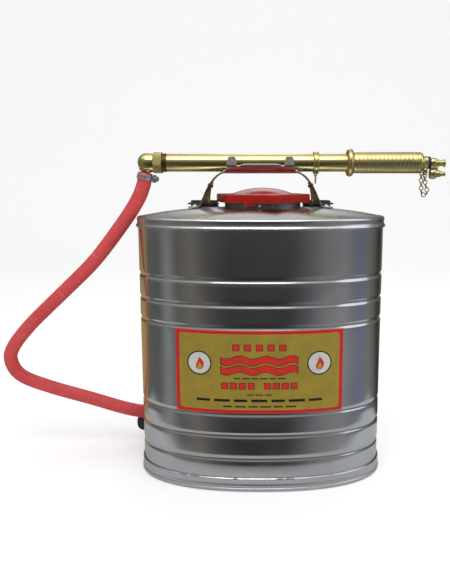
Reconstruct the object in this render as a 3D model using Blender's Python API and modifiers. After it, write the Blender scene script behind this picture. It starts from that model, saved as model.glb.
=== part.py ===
"""Backpack fire pump: a kidney-shaped sheet-metal water tank with a hand-worked brass slide pump.

Metres, +Z up. The origin is the centre of the tank's base on the ground. +X points to the nozzle end of
the pump, -Y is the labelled front of the tank and +Y is the wearer's back. Each object is one real piece.
"""

import math

import bmesh
import bpy
import numpy as np
from mathutils import Matrix, Vector

# ---- driving dimensions -------------------------------------------------------------------------
TANK_HALF_WIDTH = 0.1875
TANK_FRONT_DEPTH = 0.105
TANK_BACK_DEPTH = 0.082
TANK_SQUARENESS = 2.3          # exponent of the superellipse that the plan follows
BACK_HOLLOW = 0.018            # how far the wearer's side curves inwards at its middle
BACK_HOLLOW_WIDTH = 0.090
OUTLINE_POINTS = 38

SHEET = 0.0008                 # tank sheet thickness
WALL_BOTTOM = 0.0085
WALL_TOP = 0.3900
GROOVE_DEPTH = 0.0018
GROOVE_HALF_HEIGHT = 0.0045
GROOVE_HEIGHTS = (0.0500, 0.0855, 0.1185, 0.2470, 0.2795, 0.3150)

COVER_EDGE_HEIGHT = 0.4005
COVER_RISE = 0.0135            # from the cover's edge up to the filler neck
NECK_X = 0.003
PUMP_Y = -0.010                # the neck, the handle and the pump share this line
NECK_RADIUS = 0.0574
NECK_TOP = 0.4270
COVER_HOLE_GAP = 0.0011
GAP = 0.0003                   # clearance between pieces that touch
FLOOR = 0.0020                 # height of the pan's inner face

PIN_OFFSET = 0.0040            # of the neck's locking pins from its middle, opposite ways front and rear
CAP_BOTTOM = 0.4218
CAP_RIM_TOP = 0.4343
CAP_DOME_RISE = 0.0091
CAP_CORNER_RADIUS = 0.0735
CAP_FILLET = 0.011
CAP_TURNED = math.radians(-15.0)
CAP_INSET = 0.985              # share of the rim's width left at its chamfered edges
CAP_RECESS_RADIUS = 0.0582
CAP_RECESS_TOP = 0.4306
DOME_RADIUS = 0.0475
DOME_SINK = 0.004              # how far the dome's foot runs down into the rim
LUG_ALONG = (0.0075, 0.0270)   # ends of a locking lug, from the neck's middle
LUG_ACROSS = (0.0586, 0.0618)
LUG_BOTTOM = 0.4186
GASKET_RADIUS = 0.0578
GASKET_BORE = 0.0500
GASKET_TOP = 0.4302

PUMP_Z = 0.4805                # height of the pump's axis at rest
BARREL_RADIUS = 0.01325
BARREL_BORE = 0.0122
BARREL_START = -0.1546
BARREL_END = 0.2220
THREAD_END = -0.1425
NUT_START = -0.1608
NUT_END = -0.1478
NUT_RADIUS = 0.0157
ELBOW_X = -0.1710
ELBOW_RADIUS = 0.0142
PLUNGER_RADIUS = 0.0095
PLUNGER_BORE = 0.0076
GRIP_START = 0.1289
GRIP_END = 0.2338
GRIP_RADIUS = 0.0158
NECK_END = 0.2508              # right end of the nozzle neck
HEAD_START = 0.2553
HEAD_END = 0.2653
HEAD_DROP = 0.0085             # the selector head turns about an axis this far below the pump's
TIP_OFFSET = 0.0079
SWIVEL_DROP = 0.0035           # from the head's axis down to the middle of the neck's lug
PIVOT_HOLE = 0.0017
HEAD_WAYS = (0.2473, 0.2773)   # both ends of the cutters for the head's bores

HOSE_RADIUS = 0.0109
HOSE_BORE = 0.0076
BARB_RADIUS = 0.0066
BARB_TILT = math.radians(11.0)
OUTLET_X = -0.128
OUTLET_Z = 0.044

SADDLE_RADIUS = 0.0150         # middle of the sheet that cradles the barrel
STRAP_WIDTH = 0.042
WEBBING = 0.0028
ROUND = 20                     # facets around a large turned piece
SMALL_ROUND = 12
SEAL_ROUND = 48                # facets around the cap's recess and gasket, which turn on each other

# ---- finishes: colour, roughness, metallic ------------------------------------------------------
FINISHES = {
    "tank_metal": ((0.62, 0.63, 0.64), 0.25, 1.0),
    "grey_metal": ((0.30, 0.30, 0.29), 0.45, 1.0),
    "brass": ((0.72, 0.56, 0.25), 0.22, 1.0),
    "old_brass": ((0.30, 0.20, 0.09), 0.40, 1.0),
    "zinc": ((0.66, 0.68, 0.70), 0.25, 1.0),
    "red_paint": ((0.52, 0.02, 0.01), 0.25, 0.0),
    "red_hose": ((0.55, 0.09, 0.09), 0.55, 0.0),
    "label_print": ((0.20, 0.14, 0.02), 0.40, 0.0),
    "black_rubber": ((0.02, 0.02, 0.02), 0.65, 0.0),
    "black_webbing": ((0.02, 0.02, 0.025), 0.85, 0.0),
    "leather": ((0.20, 0.11, 0.05), 0.70, 0.0),
}


def clear_scene():
    for old in list(bpy.data.objects):
        bpy.data.objects.remove(old)


def new_collection(name):
    made = bpy.data.collections.new(name)
    bpy.context.scene.collection.children.link(made)
    return made


def material_for(name, finish):
    color, roughness, metallic = FINISHES[finish]
    made = bpy.data.materials.new(name)
    made.use_nodes = True
    shader = made.node_tree.nodes["Principled BSDF"]
    shader.inputs["Base Color"].default_value = (*color, 1.0)
    shader.inputs["Roughness"].default_value = roughness
    shader.inputs["Metallic"].default_value = metallic
    return made


clear_scene()
PARTS = new_collection("backpack_fire_pump")
CUTTERS = new_collection("cutters")


# ---- general helpers ----------------------------------------------------------------------------
def add_part(name, data, finish):
    """A new object in the parts collection, with its own material."""
    part = bpy.data.objects.new(name, data)
    PARTS.objects.link(part)
    data.materials.append(material_for(name, finish))
    return part


def make_helper(part):
    """Turns an object into a cutter: kept, but never rendered or built."""
    for home in list(part.users_collection):
        home.objects.unlink(part)
    CUTTERS.objects.link(part)
    part.hide_render = True
    part.display_type = "WIRE"
    return part


def boolean(part, other, operation):
    """Cuts or joins with another object, which becomes a helper."""
    make_helper(other)
    modifier = part.modifiers.new(f"{operation.lower()}_{other.name}", "BOOLEAN")
    modifier.operation = operation
    modifier.object = other
    modifier.solver = "EXACT"
    return part


def smooth(mesh, angle=math.radians(35.0)):
    mesh.shade_smooth()
    mesh.set_sharp_from_angle(angle=angle)


def direction_matrix(origin, direction):
    """Places local +Z along a direction, from an origin."""
    turn = Vector((0, 0, 1)).rotation_difference(Vector(direction).normalized())
    return Matrix.Translation(Vector(origin)) @ turn.to_matrix().to_4x4()


def turned(name, finish, profile, origin=(0.0, 0.0, 0.0), direction=(0.0, 0.0, 1.0), steps=ROUND):
    """A turned piece. The profile holds (distance along the axis, radius) and runs down its outer side."""
    mesh = bpy.data.meshes.new(name)
    points = [(radius, 0.0, along) for along, radius in profile]
    edges = [(i, i + 1) for i in range(len(points) - 1)]
    if profile[0][1] > 0 and profile[-1][1] > 0:
        edges.append((len(points) - 1, 0))
    mesh.from_pydata(points, edges, [])
    part = add_part(name, mesh, finish)
    part.matrix_world = direction_matrix(origin, direction)
    screw = part.modifiers.new("turn", "SCREW")
    screw.steps = steps
    screw.render_steps = steps
    screw.use_merge_vertices = True
    screw.merge_threshold = 1e-5
    screw.use_smooth_shade = True
    return part


def tube(name, finish, start, end, radius, bore, **place):
    """A plain ring or tube between two distances along its axis."""
    return turned(name, finish, [(end, radius), (start, radius), (start, bore), (end, bore)], **place)


def rod(name, finish, start, end, radius, **place):
    return turned(name, finish, [(end, 0.0), (end, radius), (start, radius), (start, 0.0)], **place)


def along_pump(offset_z=0.0):
    """Placing for a piece turned about the pump's axis, whose distances are world X."""
    return {"origin": (0.0, PUMP_Y, PUMP_Z + offset_z), "direction": (1.0, 0.0, 0.0)}


def loft(name, finish, rings, closed):
    """Joins rings of equal point counts. Closed joins the last ring to the first, else both are capped."""
    mesh = bpy.data.meshes.new(name)
    work = bmesh.new()
    rows = [[work.verts.new(point) for point in ring] for ring in rings]
    count = len(rows[0])
    pairs = list(zip(rows, rows[1:]))
    if closed:
        pairs.append((rows[-1], rows[0]))
    for low, high in pairs:
        for i in range(count):
            j = (i + 1) % count
            work.faces.new((low[i], low[j], high[j], high[i]))
    if not closed:
        work.faces.new(rows[0])
        work.faces.new(rows[-1])
    bmesh.ops.recalc_face_normals(work, faces=work.faces)
    work.to_mesh(mesh)
    work.free()
    smooth(mesh)
    return add_part(name, mesh, finish)


def sheet(name, finish, rows, thickness, even=True):
    """An open grid of points, thickened to both sides."""
    mesh = bpy.data.meshes.new(name)
    work = bmesh.new()
    grid = [[work.verts.new(point) for point in row] for row in rows]
    for low, high in zip(grid, grid[1:]):
        for i in range(len(low) - 1):
            work.faces.new((low[i], low[i + 1], high[i + 1], high[i]))
    bmesh.ops.recalc_face_normals(work, faces=work.faces)
    work.to_mesh(mesh)
    work.free()
    smooth(mesh)
    part = add_part(name, mesh, finish)
    solidify = part.modifiers.new("thickness", "SOLIDIFY")
    solidify.thickness = thickness
    solidify.offset = 0.0
    solidify.use_even_offset = even
    return part


def box(name, finish, low, high, rounding=0.0):
    mesh = bpy.data.meshes.new(name)
    work = bmesh.new()
    size = Vector(high) - Vector(low)
    middle = (Vector(high) + Vector(low)) / 2
    place = Matrix.Translation(middle) @ Matrix.Diagonal((*size, 1.0))
    bmesh.ops.create_cube(work, size=1.0, matrix=place)
    work.to_mesh(mesh)
    work.free()
    part = add_part(name, mesh, finish)
    if rounding:
        bevel = part.modifiers.new("rounding", "BEVEL")
        bevel.width = rounding
        bevel.segments = 2
    return part


def ring_mesh(radius, wire, around=12, across=6):
    """A torus about local Z."""
    mesh = bpy.data.meshes.new("ring")
    work = bmesh.new()
    loops = []
    for i in range(around):
        turn = 2 * math.pi * i / around
        loop = []
        for j in range(across):
            roll = 2 * math.pi * j / across
            reach = radius + wire * math.cos(roll)
            place = (reach * math.cos(turn), reach * math.sin(turn), wire * math.sin(roll))
            loop.append(work.verts.new(place))
        loops.append(loop)
    for i in range(around):
        here, there = loops[i], loops[(i + 1) % around]
        for j in range(across):
            k = (j + 1) % across
            work.faces.new((here[j], there[j], there[k], here[k]))
    bmesh.ops.recalc_face_normals(work, faces=work.faces)
    work.to_mesh(mesh)
    work.free()
    mesh.shade_smooth()
    return mesh


def ring(name, finish, centre, axis, radius, wire, around=12, across=6):
    part = add_part(name, ring_mesh(radius, wire, around, across), finish)
    part.matrix_world = direction_matrix(centre, axis)
    return part


def smooth_path(controls, steps):
    """Catmull-Rom points through the controls."""
    points = [Vector(point) for point in controls]
    ends = [2 * points[0] - points[1], *points, 2 * points[-1] - points[-2]]
    made = []
    for a, b, c, d in zip(ends, ends[1:], ends[2:], ends[3:]):
        for k in range(steps):
            t = k / steps
            made.append(0.5 * (2 * b + (c - a) * t + (2 * a - 5 * b + 4 * c - d) * t * t
                               + (3 * b - 3 * c + d - a) * t * t * t))
    made.append(points[-1])
    return made


def wire_object(name, finish, points, radius, resolution=1, cyclic=False, caps=True):
    """A round wire along a POLY curve."""
    data = bpy.data.curves.new(name, "CURVE")
    data.dimensions = "3D"
    data.bevel_depth = radius
    data.bevel_resolution = resolution
    data.use_fill_caps = caps
    spline = data.splines.new("POLY")
    spline.points.add(len(points) - 1)
    for target, point in zip(spline.points, points):
        target.co = (*point, 1.0)
    spline.use_cyclic_u = cyclic
    return add_part(name, data, finish)


# ---- the tank's plan ----------------------------------------------------------------------------
def plan_point(turn):
    """A point of the tank's outline: a superellipse with a hollow on the wearer's side."""
    c, s = math.cos(turn), math.sin(turn)
    power = 2.0 / TANK_SQUARENESS
    x = TANK_HALF_WIDTH * math.copysign(abs(c) ** power, c)
    depth = TANK_BACK_DEPTH if s > 0 else TANK_FRONT_DEPTH
    y = depth * math.copysign(abs(s) ** power, s)
    if s > 0:
        y -= BACK_HOLLOW * s * math.exp(-((x / BACK_HOLLOW_WIDTH) ** 2))
    return x, y


def dense_outline(count=1440):
    """Points and outward normals all round the plan."""
    points = np.array([plan_point(2 * math.pi * (i + 0.5) / count) for i in range(count)])
    along = np.roll(points, -3, axis=0) - np.roll(points, 3, axis=0)
    normals = np.stack([along[:, 1], -along[:, 0]], axis=1)
    normals /= np.linalg.norm(normals, axis=1)[:, None]
    return points, normals


DENSE_POINTS, DENSE_NORMALS = dense_outline()


def even_indices(count):
    """Indices of the dense outline that are evenly spaced along it."""
    steps = np.linalg.norm(np.diff(DENSE_POINTS, axis=0, append=DENSE_POINTS[:1]), axis=1)
    travelled = np.concatenate([[0.0], np.cumsum(steps)[:-1]])
    wanted = np.arange(count) * steps.sum() / count
    return [int(np.abs(travelled - distance).argmin()) for distance in wanted]


EVEN = even_indices(OUTLINE_POINTS)


def outline(offset):
    return [tuple(DENSE_POINTS[i] + offset * DENSE_NORMALS[i]) for i in EVEN]


def outline_ring(offset, height):
    return [(x, y, height) for x, y in outline(offset)]


def wall_place(x, back):
    """(point, outward normal) of the wall at this x, on the wearer's side or the front."""
    side = DENSE_POINTS[:, 1] > 0 if back else DENSE_POINTS[:, 1] < 0
    index = int(np.where(side, np.abs(DENSE_POINTS[:, 0] - x), 9.0).argmin())
    point, normal = DENSE_POINTS[index], DENSE_NORMALS[index]
    return Vector((*point, 0.0)), Vector((*normal, 0.0))


# ---- tank ---------------------------------------------------------------------------------------
def tank_shell():
    levels = [(WALL_BOTTOM, 0.0)]
    for height in GROOVE_HEIGHTS:
        levels.append((height - GROOVE_HALF_HEIGHT, 0.0))
        levels.append((height, -GROOVE_DEPTH))
        levels.append((height + GROOVE_HALF_HEIGHT, 0.0))
    levels.append((WALL_TOP, 0.0))
    outer = [outline_ring(offset, height) for height, offset in levels]
    inner = [outline_ring(offset - SHEET, height) for height, offset in reversed(levels)]
    shell = loft("tank_shell", "tank_metal", outer + inner, closed=True)
    point, normal = wall_place(OUTLET_X, back=True)
    hole = rod("outlet_hole", "tank_metal", -0.02, 0.02, 0.0103,
               origin=point + Vector((0, 0, OUTLET_Z)), direction=normal, steps=SMALL_ROUND)
    return boolean(shell, hole, "DIFFERENCE")


def tank_bottom():
    """A pressed pan with a flat floor, whose flange wraps the wall's lower edge."""
    section = [
        (-0.0065, 0.0), (0.0012, 0.0), (0.0030, 0.0016), (0.0034, 0.0070), (0.0026, 0.0090),
        (0.0024, 0.0196), (0.0016, 0.0208), (GAP, 0.0208), (GAP, 0.0078), (-0.0016, 0.0072), (-0.0024, FLOOR),
    ]
    rings = [outline_ring(offset, height) for offset, height in section]
    return loft("tank_bottom", "tank_metal", rings, closed=False)


def cover_height(share):
    """Height of the cover's outer face, from its edge (0) to the neck (1)."""
    return COVER_EDGE_HEIGHT + COVER_RISE * (1.0 - (1.0 - share) ** 2)


def cover_ring(share, drop, edge_offset, neck_radius):
    """A ring of the domed cover: the plan at share 0, the neck's circle at share 1."""
    made = []
    for x, y in outline(edge_offset):
        turn = math.atan2(y - PUMP_Y, x - NECK_X)
        round_x = NECK_X + neck_radius * math.cos(turn)
        round_y = PUMP_Y + neck_radius * math.sin(turn)
        made.append((x + (round_x - x) * share, y + (round_y - y) * share, cover_height(share) - drop))
    return made


def top_cover():
    band = [(0.0026, 0.3852), (0.0031, 0.3885), (0.0026, 0.3912), (0.0014, 0.3930), (0.0014, 0.3972),
            (0.0007, 0.3994)]
    rings = [outline_ring(offset, height) for offset, height in band]
    shares = (0.03, 0.25, 0.55, 1.0)
    hole = NECK_RADIUS + COVER_HOLE_GAP
    rings += [cover_ring(share, 0.0, -0.0010, hole) for share in shares]
    rings += [cover_ring(share, 0.0011, -0.0020, hole) for share in reversed(shares)]
    rings += [outline_ring(offset, height) for offset, height in ((GAP, 0.3970), (GAP, 0.3852))]
    cover = loft("top_cover", "tank_metal", rings, closed=True)
    for x, y in FOOT_RIVETS:
        hole = rod("cover_rivet_hole", "tank_metal", 0.39, 0.43, 0.0022, origin=(x, y, 0), steps=8)
        boolean(cover, hole, "DIFFERENCE")
    return cover


def filler_neck():
    profile = [
        (NECK_TOP, NECK_RADIUS), (0.4098, NECK_RADIUS), (0.4096, 0.0608), (0.4084, 0.0608),
        (0.4080, 0.0562), (NECK_TOP, 0.0562),
    ]
    neck = turned("filler_neck", "grey_metal", profile, origin=(NECK_X, PUMP_Y, 0))
    for name, side in (("neck_pin_front", -1), ("neck_pin_rear", 1)):
        place = (NECK_X + side * PIN_OFFSET, PUMP_Y + side * (NECK_RADIUS + GAP), 0.4188)
        rod(name, "zinc", 0.0, 0.0040, 0.0025, origin=place, direction=(0, side, 0), steps=10)
    return neck


def strainer():
    """A brass basket that hangs inside the neck."""
    profile = [
        (0.3490, 0.0), (0.3490, 0.0430), (0.4262, 0.0505), (0.4262, 0.0556),
        (0.4252, 0.0556), (0.4252, 0.0515), (0.3480, 0.0440), (0.3480, 0.0),
    ]
    return turned("strainer", "brass", profile, origin=(NECK_X, PUMP_Y, 0))


LABEL_HALF_WIDTH = 0.1215
LABEL_LOW = 0.1213
LABEL_HIGH = 0.2442
LABEL_SHEET = 0.0004


def label_plate():
    columns = 20
    rows = []
    for height in (LABEL_LOW, (LABEL_LOW + LABEL_HIGH) / 2, LABEL_HIGH):
        row = []
        for i in range(columns + 1):
            x = LABEL_HALF_WIDTH * (2 * i / columns - 1)
            point, normal = wall_place(x, back=False)
            place = point + normal * (GAP + LABEL_SHEET)
            row.append((place.x, place.y, height))
        rows.append(row)
    return sheet("label_plate", "label_print", rows, LABEL_SHEET)


# ---- filler cap ---------------------------------------------------------------------------------
def hexagon_outline():
    """A hexagon with filleted corners."""
    made = []
    reach = CAP_CORNER_RADIUS - CAP_FILLET / math.cos(math.radians(30.0)) + CAP_FILLET * 0.14
    for corner in range(6):
        middle = CAP_TURNED + math.radians(60.0) * corner
        for step in range(4):
            turn = middle + math.radians(-30.0 + 20.0 * step)
            made.append((reach * math.cos(middle) + CAP_FILLET * math.cos(turn),
                         reach * math.sin(middle) + CAP_FILLET * math.sin(turn)))
    return made


def filler_cap():
    corners = hexagon_outline()
    inset = [(x * CAP_INSET, y * CAP_INSET) for x, y in corners]
    rings = [
        [(x, y, CAP_BOTTOM) for x, y in inset], [(x, y, CAP_BOTTOM + 0.0012) for x, y in corners],
        [(x, y, CAP_RIM_TOP - 0.0015) for x, y in corners], [(x, y, CAP_RIM_TOP) for x, y in inset],
    ]
    cap = loft("filler_cap", "red_paint", rings, closed=False)
    cap.location = (NECK_X, PUMP_Y, 0)
    dome_foot = CAP_RIM_TOP - DOME_SINK
    dome = [(CAP_RIM_TOP + CAP_DOME_RISE, 0.0)]
    for step in range(1, 6):
        share = step / 5
        dome.append((CAP_RIM_TOP + CAP_DOME_RISE * (1 - share ** 2), DOME_RADIUS * share))
    dome += [(dome_foot, DOME_RADIUS), (dome_foot, 0.0)]
    boolean(cap, turned("cap_dome", "red_paint", dome, origin=(NECK_X, PUMP_Y, 0)), "UNION")
    recess = rod("cap_recess", "red_paint", CAP_BOTTOM - 0.01, CAP_RECESS_TOP, CAP_RECESS_RADIUS,
                 origin=(NECK_X, PUMP_Y, 0), steps=SEAL_ROUND)
    boolean(cap, recess, "DIFFERENCE")
    for name, side in (("cap_lug_front", -1), ("cap_lug_rear", 1)):
        ends = sorted(NECK_X + side * along for along in LUG_ALONG)
        depths = sorted(PUMP_Y + side * across for across in LUG_ACROSS)
        low, high = (ends[0], depths[0], LUG_BOTTOM), (ends[1], depths[1], CAP_BOTTOM + 0.002)
        lug = box(name, "red_paint", low, high)
        boolean(cap, lug, "UNION")
    return cap


def cap_gasket():
    return tube("cap_gasket", "black_rubber", NECK_TOP + GAP, GASKET_TOP, GASKET_RADIUS, GASKET_BORE,
                origin=(NECK_X, PUMP_Y, 0), steps=SEAL_ROUND)


# ---- carrying handle ----------------------------------------------------------------------------
FOOT_RIVETS = [(side * 0.1005, PUMP_Y + across) for side in (-1, 1) for across in (-0.009, 0.009)]
EAR_TOP = 0.0088               # how far the ears rise above the barrel's axis
QUARTER = SADDLE_RADIUS * math.pi / 2
SADDLE_BOTTOM = PUMP_Z - SADDLE_RADIUS
HANDLE_SHEET = 0.0018
# (x, z, half width along the sheet, bend: 0 is flat and 1 hugs the barrel)
HANDLE_HALF = [
    (0.1090, 0.41390, 0.0110, 0.0), (0.1060, 0.41410, 0.0150, 0.0), (0.0960, 0.41470, 0.0160, 0.0),
    (0.0925, 0.41620, 0.0160, 0.0), (0.0900, 0.41980, 0.0155, 0.0), (0.0860, 0.42880, 0.0150, 0.0),
    (0.0810, 0.44000, 0.0150, 0.0), (0.0755, 0.44950, 0.0150, 0.0), (0.0685, 0.45820, 0.0150, 0.05),
    (0.0610, 0.46370, 0.0155, 0.25), (0.0550, 0.46570, 0.0175, 0.7), (0.0510, SADDLE_BOTTOM, 0.0200, 1.0),
    (0.0505, SADDLE_BOTTOM, QUARTER + EAR_TOP, 1.0), (0.0355, SADDLE_BOTTOM, QUARTER + EAR_TOP, 1.0),
    (0.0350, SADDLE_BOTTOM, QUARTER - 0.0045, 1.0), (0.0298, SADDLE_BOTTOM, QUARTER - 0.0042, 1.0),
    (0.0245, SADDLE_BOTTOM, QUARTER - 0.0022, 1.0), (0.0, SADDLE_BOTTOM, QUARTER - 0.0020, 1.0),
]


COLUMNS = (0.0060, 0.0120, 0.0176)  # fixed columns of the saddle, so that its steps stay off the barrel


def handle_section(place, along, half_width, bend):
    """Points across the sheet: an arc that hugs the barrel, then straight up."""
    up = Vector((-along.z, 0.0, along.x))
    if up.z < 0:
        up = -up
    inner = [column * min(1.0, half_width / 0.0191) for column in COLUMNS]
    reaches = [-half_width, *(-column for column in reversed(inner)), 0.0, *inner, half_width]
    row = []
    for reach in reaches:
        side, length = math.copysign(1.0, reach), abs(reach)
        radius = SADDLE_RADIUS / max(bend, 0.02)
        arc = min(length, radius * math.pi / 2)
        turn = arc / radius
        across = radius * math.sin(turn)
        rise = radius * (1 - math.cos(turn)) + (length - arc)
        row.append(place + Vector((0, side * across, 0)) + up * rise)
    return row


def carry_handle():
    stations = [(-x, z, w, b) for x, z, w, b in HANDLE_HALF[:-1]] + list(reversed(HANDLE_HALF))
    places = [Vector((x, PUMP_Y, z)) for x, z, _, _ in stations]
    rows = []
    for i, (x, z, half_width, bend) in enumerate(stations):
        before, after = places[max(i - 1, 0)], places[min(i + 1, len(places) - 1)]
        along = (after - before).normalized()
        if abs(x) <= 0.0525:
            along = Vector((1.0, 0.0, 0.0))
        rows.append(handle_section(places[i], along, half_width, bend))
    handle = sheet("carry_handle", "grey_metal", rows, HANDLE_SHEET, even=False)
    for x, y in FOOT_RIVETS:
        hole = rod("foot_rivet_hole", "grey_metal", 0.405, 0.425, 0.0022, origin=(x, y, 0), steps=8)
        boolean(handle, hole, "DIFFERENCE")
    for side, word in ((-1, "left"), (1, "right")):
        hole = rod(f"hanger_hole_{word}", "grey_metal", -0.006, 0.006, 0.0021, origin=hanger_place(side),
                   direction=leg_normal(side), steps=8)
        boolean(handle, hole, "DIFFERENCE")
    return handle


def foot_rivets():
    """Each rivet clamps the foot to the cover: a domed head, a shank, and a flat head inside."""
    for x, y in FOOT_RIVETS:
        name = f"foot_rivet_{'left' if x < 0 else 'right'}_{'front' if y < PUMP_Y else 'rear'}"
        profile = [(0.4178, 0.0), (0.4176, 0.0016), (0.4168, 0.0032), (0.4159, 0.0038), (0.4156, 0.0019),
                   (0.4098, 0.0019), (0.4098, 0.0032), (0.4088, 0.0032), (0.4088, 0.0)]
        turned(name, "grey_metal", profile, origin=(x, y, 0), steps=10)


# ---- shoulder strap hangers and straps ----------------------------------------------------------
LEG_LOW = Vector((0.0810, PUMP_Y, 0.44000))
LEG_HIGH = Vector((0.0755, PUMP_Y, 0.44950))


def hanger_place(side):
    """Middle of the hanger rivet on a handle leg."""
    place = LEG_LOW.lerp(LEG_HIGH, 0.75)
    return Vector((side * place.x, PUMP_Y, place.z))


def leg_normal(side):
    """Outward normal of the leg at the hanger rivet."""
    along = LEG_HIGH - LEG_LOW
    return Vector((side * along.z, 0.0, -along.x)).normalized()


HANGER_REACH = 0.0026          # from the middle of the leg's sheet to the middle of the hanger's
HANGER_SHEET = 0.0012
LOOP_X = 0.0895                # middle of the strap and of the wire loop that holds it
LOOP_FRONT = 0.0095
LOOP_BACK = 0.0290
LOOP_Z = 0.4186
LOOP_WIRE = 0.0012
LOOP_HALF_WIDTH = 0.0230
LOOP_CORNER = 0.0025
LOOP_NEAR_CORNER = 0.0075      # cut back further, so that the cap's lug passes as it turns


def strap_hanger(side, word):
    """A tapered tab inside the handle leg, with an eye at its foot for the strap's wire loop."""
    finish = "old_brass"
    middle = hanger_place(side) - leg_normal(side) * HANGER_REACH
    up = Vector((-side * (LEG_LOW.x - LEG_HIGH.x), 0.0, LEG_HIGH.z - LEG_LOW.z)).normalized()
    foot = Vector((side * 0.0785, PUMP_Y, LOOP_Z + 0.0028))
    bend = middle - up * 0.0050
    stations = [
        (middle + up * 0.0045, 0.0040, 0.0040), (middle + up * 0.0020, 0.0062, 0.0062),
        (bend, 0.0075, 0.0075), (bend.lerp(foot, 0.5), 0.0105, 0.0115), (foot, 0.0130, 0.0195),
    ]
    rows = []
    for place, front, rear in stations:
        rows.append([place + Vector((0, across, 0)) for across in (-front, 0.0, rear)])
    hanger = sheet(f"strap_hanger_{word}", finish, rows, HANGER_SHEET)
    hole = rod(f"hanger_rivet_hole_{word}", finish, -0.006, 0.006, 0.0021, origin=hanger_place(side),
               direction=leg_normal(side), steps=8)
    boolean(hanger, hole, "DIFFERENCE")
    eye = tube(f"hanger_eye_{word}", finish, -0.0018, 0.0018, 0.0030, 0.0017,
               origin=(foot.x, LOOP_FRONT, LOOP_Z), direction=(1, 0, 0), steps=10)
    boolean(hanger, eye, "UNION")
    profile = [(0.0034, 0.0), (0.0030, 0.0020), (0.0013, 0.0033), (0.0013, 0.0017), (-0.0037, 0.0017),
               (-0.0037, 0.0028), (-0.0050, 0.0022), (-0.0055, 0.0)]
    turned(f"hanger_rivet_{word}", finish, profile, origin=hanger_place(side), direction=leg_normal(side),
           steps=8)


def strap_loop(side, word):
    """The wire rectangle that the hanger's eye holds and the strap folds round."""
    near, far = LOOP_X - LOOP_HALF_WIDTH, LOOP_X + LOOP_HALF_WIDTH
    corner, near_corner = LOOP_CORNER, LOOP_NEAR_CORNER
    outline_points = [
        (near, LOOP_FRONT + near_corner), (near + near_corner, LOOP_FRONT), (far - corner, LOOP_FRONT),
        (far, LOOP_FRONT + corner), (far, LOOP_BACK - corner), (far - corner, LOOP_BACK),
        (near + corner, LOOP_BACK), (near, LOOP_BACK - corner),
    ]
    points = [Vector((side * x, y, LOOP_Z)) for x, y in outline_points]
    return wire_object(f"strap_loop_{word}", "zinc", points, LOOP_WIRE, cyclic=True, caps=False)


FOLD = 0.0038                  # radius of the strap's fold round the loop's rear bar
STRAP_PATH = [
    (LOOP_X, 0.0480, 0.4163), (LOOP_X, 0.0380, 0.4160), (LOOP_X, LOOP_BACK, LOOP_Z - FOLD),
    (LOOP_X, LOOP_BACK - FOLD, LOOP_Z), (LOOP_X, LOOP_BACK, LOOP_Z + FOLD), (LOOP_X, 0.0450, 0.4202),
    (0.0900, 0.0660, 0.4160), (0.0905, 0.0880, 0.4070), (0.0930, 0.1010, 0.3850), (0.0990, 0.1130, 0.3400),
    (0.1090, 0.1270, 0.2700), (0.1200, 0.1340, 0.2000),
]
STRAP_TAIL = {
    "left": [(0.1350, 0.1300, 0.1300), (0.1580, 0.1210, 0.0900), (0.1790, 0.1100, 0.0660),
             (0.1930, 0.1000, 0.0480), (0.1990, 0.0910, 0.0300), (0.1980, 0.0860, 0.0165)],
    "right": [(0.1330, 0.1300, 0.1300), (0.1480, 0.1150, 0.0800), (0.1660, 0.0960, 0.0480)],
}
RING_REACH = 0.0154            # from the wall to the lower ring's middle
LOWER_X = 0.158
LOWER_Z = 0.0320


def ribbon(name, finish, path, widths, thickness):
    """A flat strap: each path point has its own sideways direction and half width."""
    rows = [[point - across, point, point + across] for point, across in zip(path, widths)]
    return sheet(name, finish, rows, thickness)


def strap_frame(side, word):
    """The strap's middle line, and at each of its points the half width, square to the line."""
    path = [Vector((side * x, y, z)) for x, y, z in STRAP_PATH + STRAP_TAIL[word]]
    path = smooth_path(path, 2)
    widths = []
    for i in range(len(path)):
        along = path[min(i + 1, len(path) - 1)] - path[max(i - 1, 0)]
        across = Vector((side, 0.0, 0.0))
        across = across - across.project(along)
        widths.append(across.normalized() * STRAP_WIDTH / 2)
    return path, widths


def shoulder_strap(side, word):
    path, widths = strap_frame(side, word)
    return ribbon(f"shoulder_strap_{word}", "black_webbing", path, widths, WEBBING)


def strap_slide(side, word):
    """The adjusting slide: a metal frame around the strap."""
    path, widths = strap_frame(side, word)
    index = int(len(path) * 0.78)
    along = (path[index + 1] - path[index - 1]).normalized()
    across = widths[index].normalized()
    out = across.cross(along).normalized()
    half = STRAP_WIDTH / 2 + 0.0022
    deep = WEBBING / 2 + 0.0018
    corners = [(half, deep), (half, -deep), (-half, -deep), (-half, deep)]
    points = [path[index] + across * a + out * b for a, b in corners]
    return wire_object(f"strap_slide_{word}", "zinc", points, 0.0012, resolution=1, cyclic=True, caps=False)


def lower_bracket(side, word):
    """A staple on the wall and the wire ring that the strap's lower end hooks to."""
    point, normal = wall_place(side * LOWER_X, back=True)
    tangent = Vector((-normal.y, normal.x, 0.0))
    base = point + Vector((0, 0, LOWER_Z))
    plate_low, plate_high = GAP + 0.0002, 0.0022
    plate_half_width, plate_half_height = 0.0085, 0.0085
    rings = []
    for reach in (plate_low, plate_high):
        corners = ((-1, -1), (1, -1), (1, 1), (-1, 1))
        rings.append([base + normal * (reach + 0.0006) + tangent * (a * plate_half_width)
                      + Vector((0, 0, b * plate_half_height)) for a, b in corners])
    bracket = loft(f"strap_bracket_{word}", "grey_metal", rings, closed=False)
    eye = ring(f"bracket_eye_{word}", "grey_metal", base + normal * 0.0062, tangent, 0.0044, 0.0014, 12, 6)
    boolean(bracket, eye, "UNION")
    ring(f"strap_ring_{word}", "zinc", base + normal * RING_REACH, Vector((0, 0, 1)), 0.0092, 0.0013, 14, 5)


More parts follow.
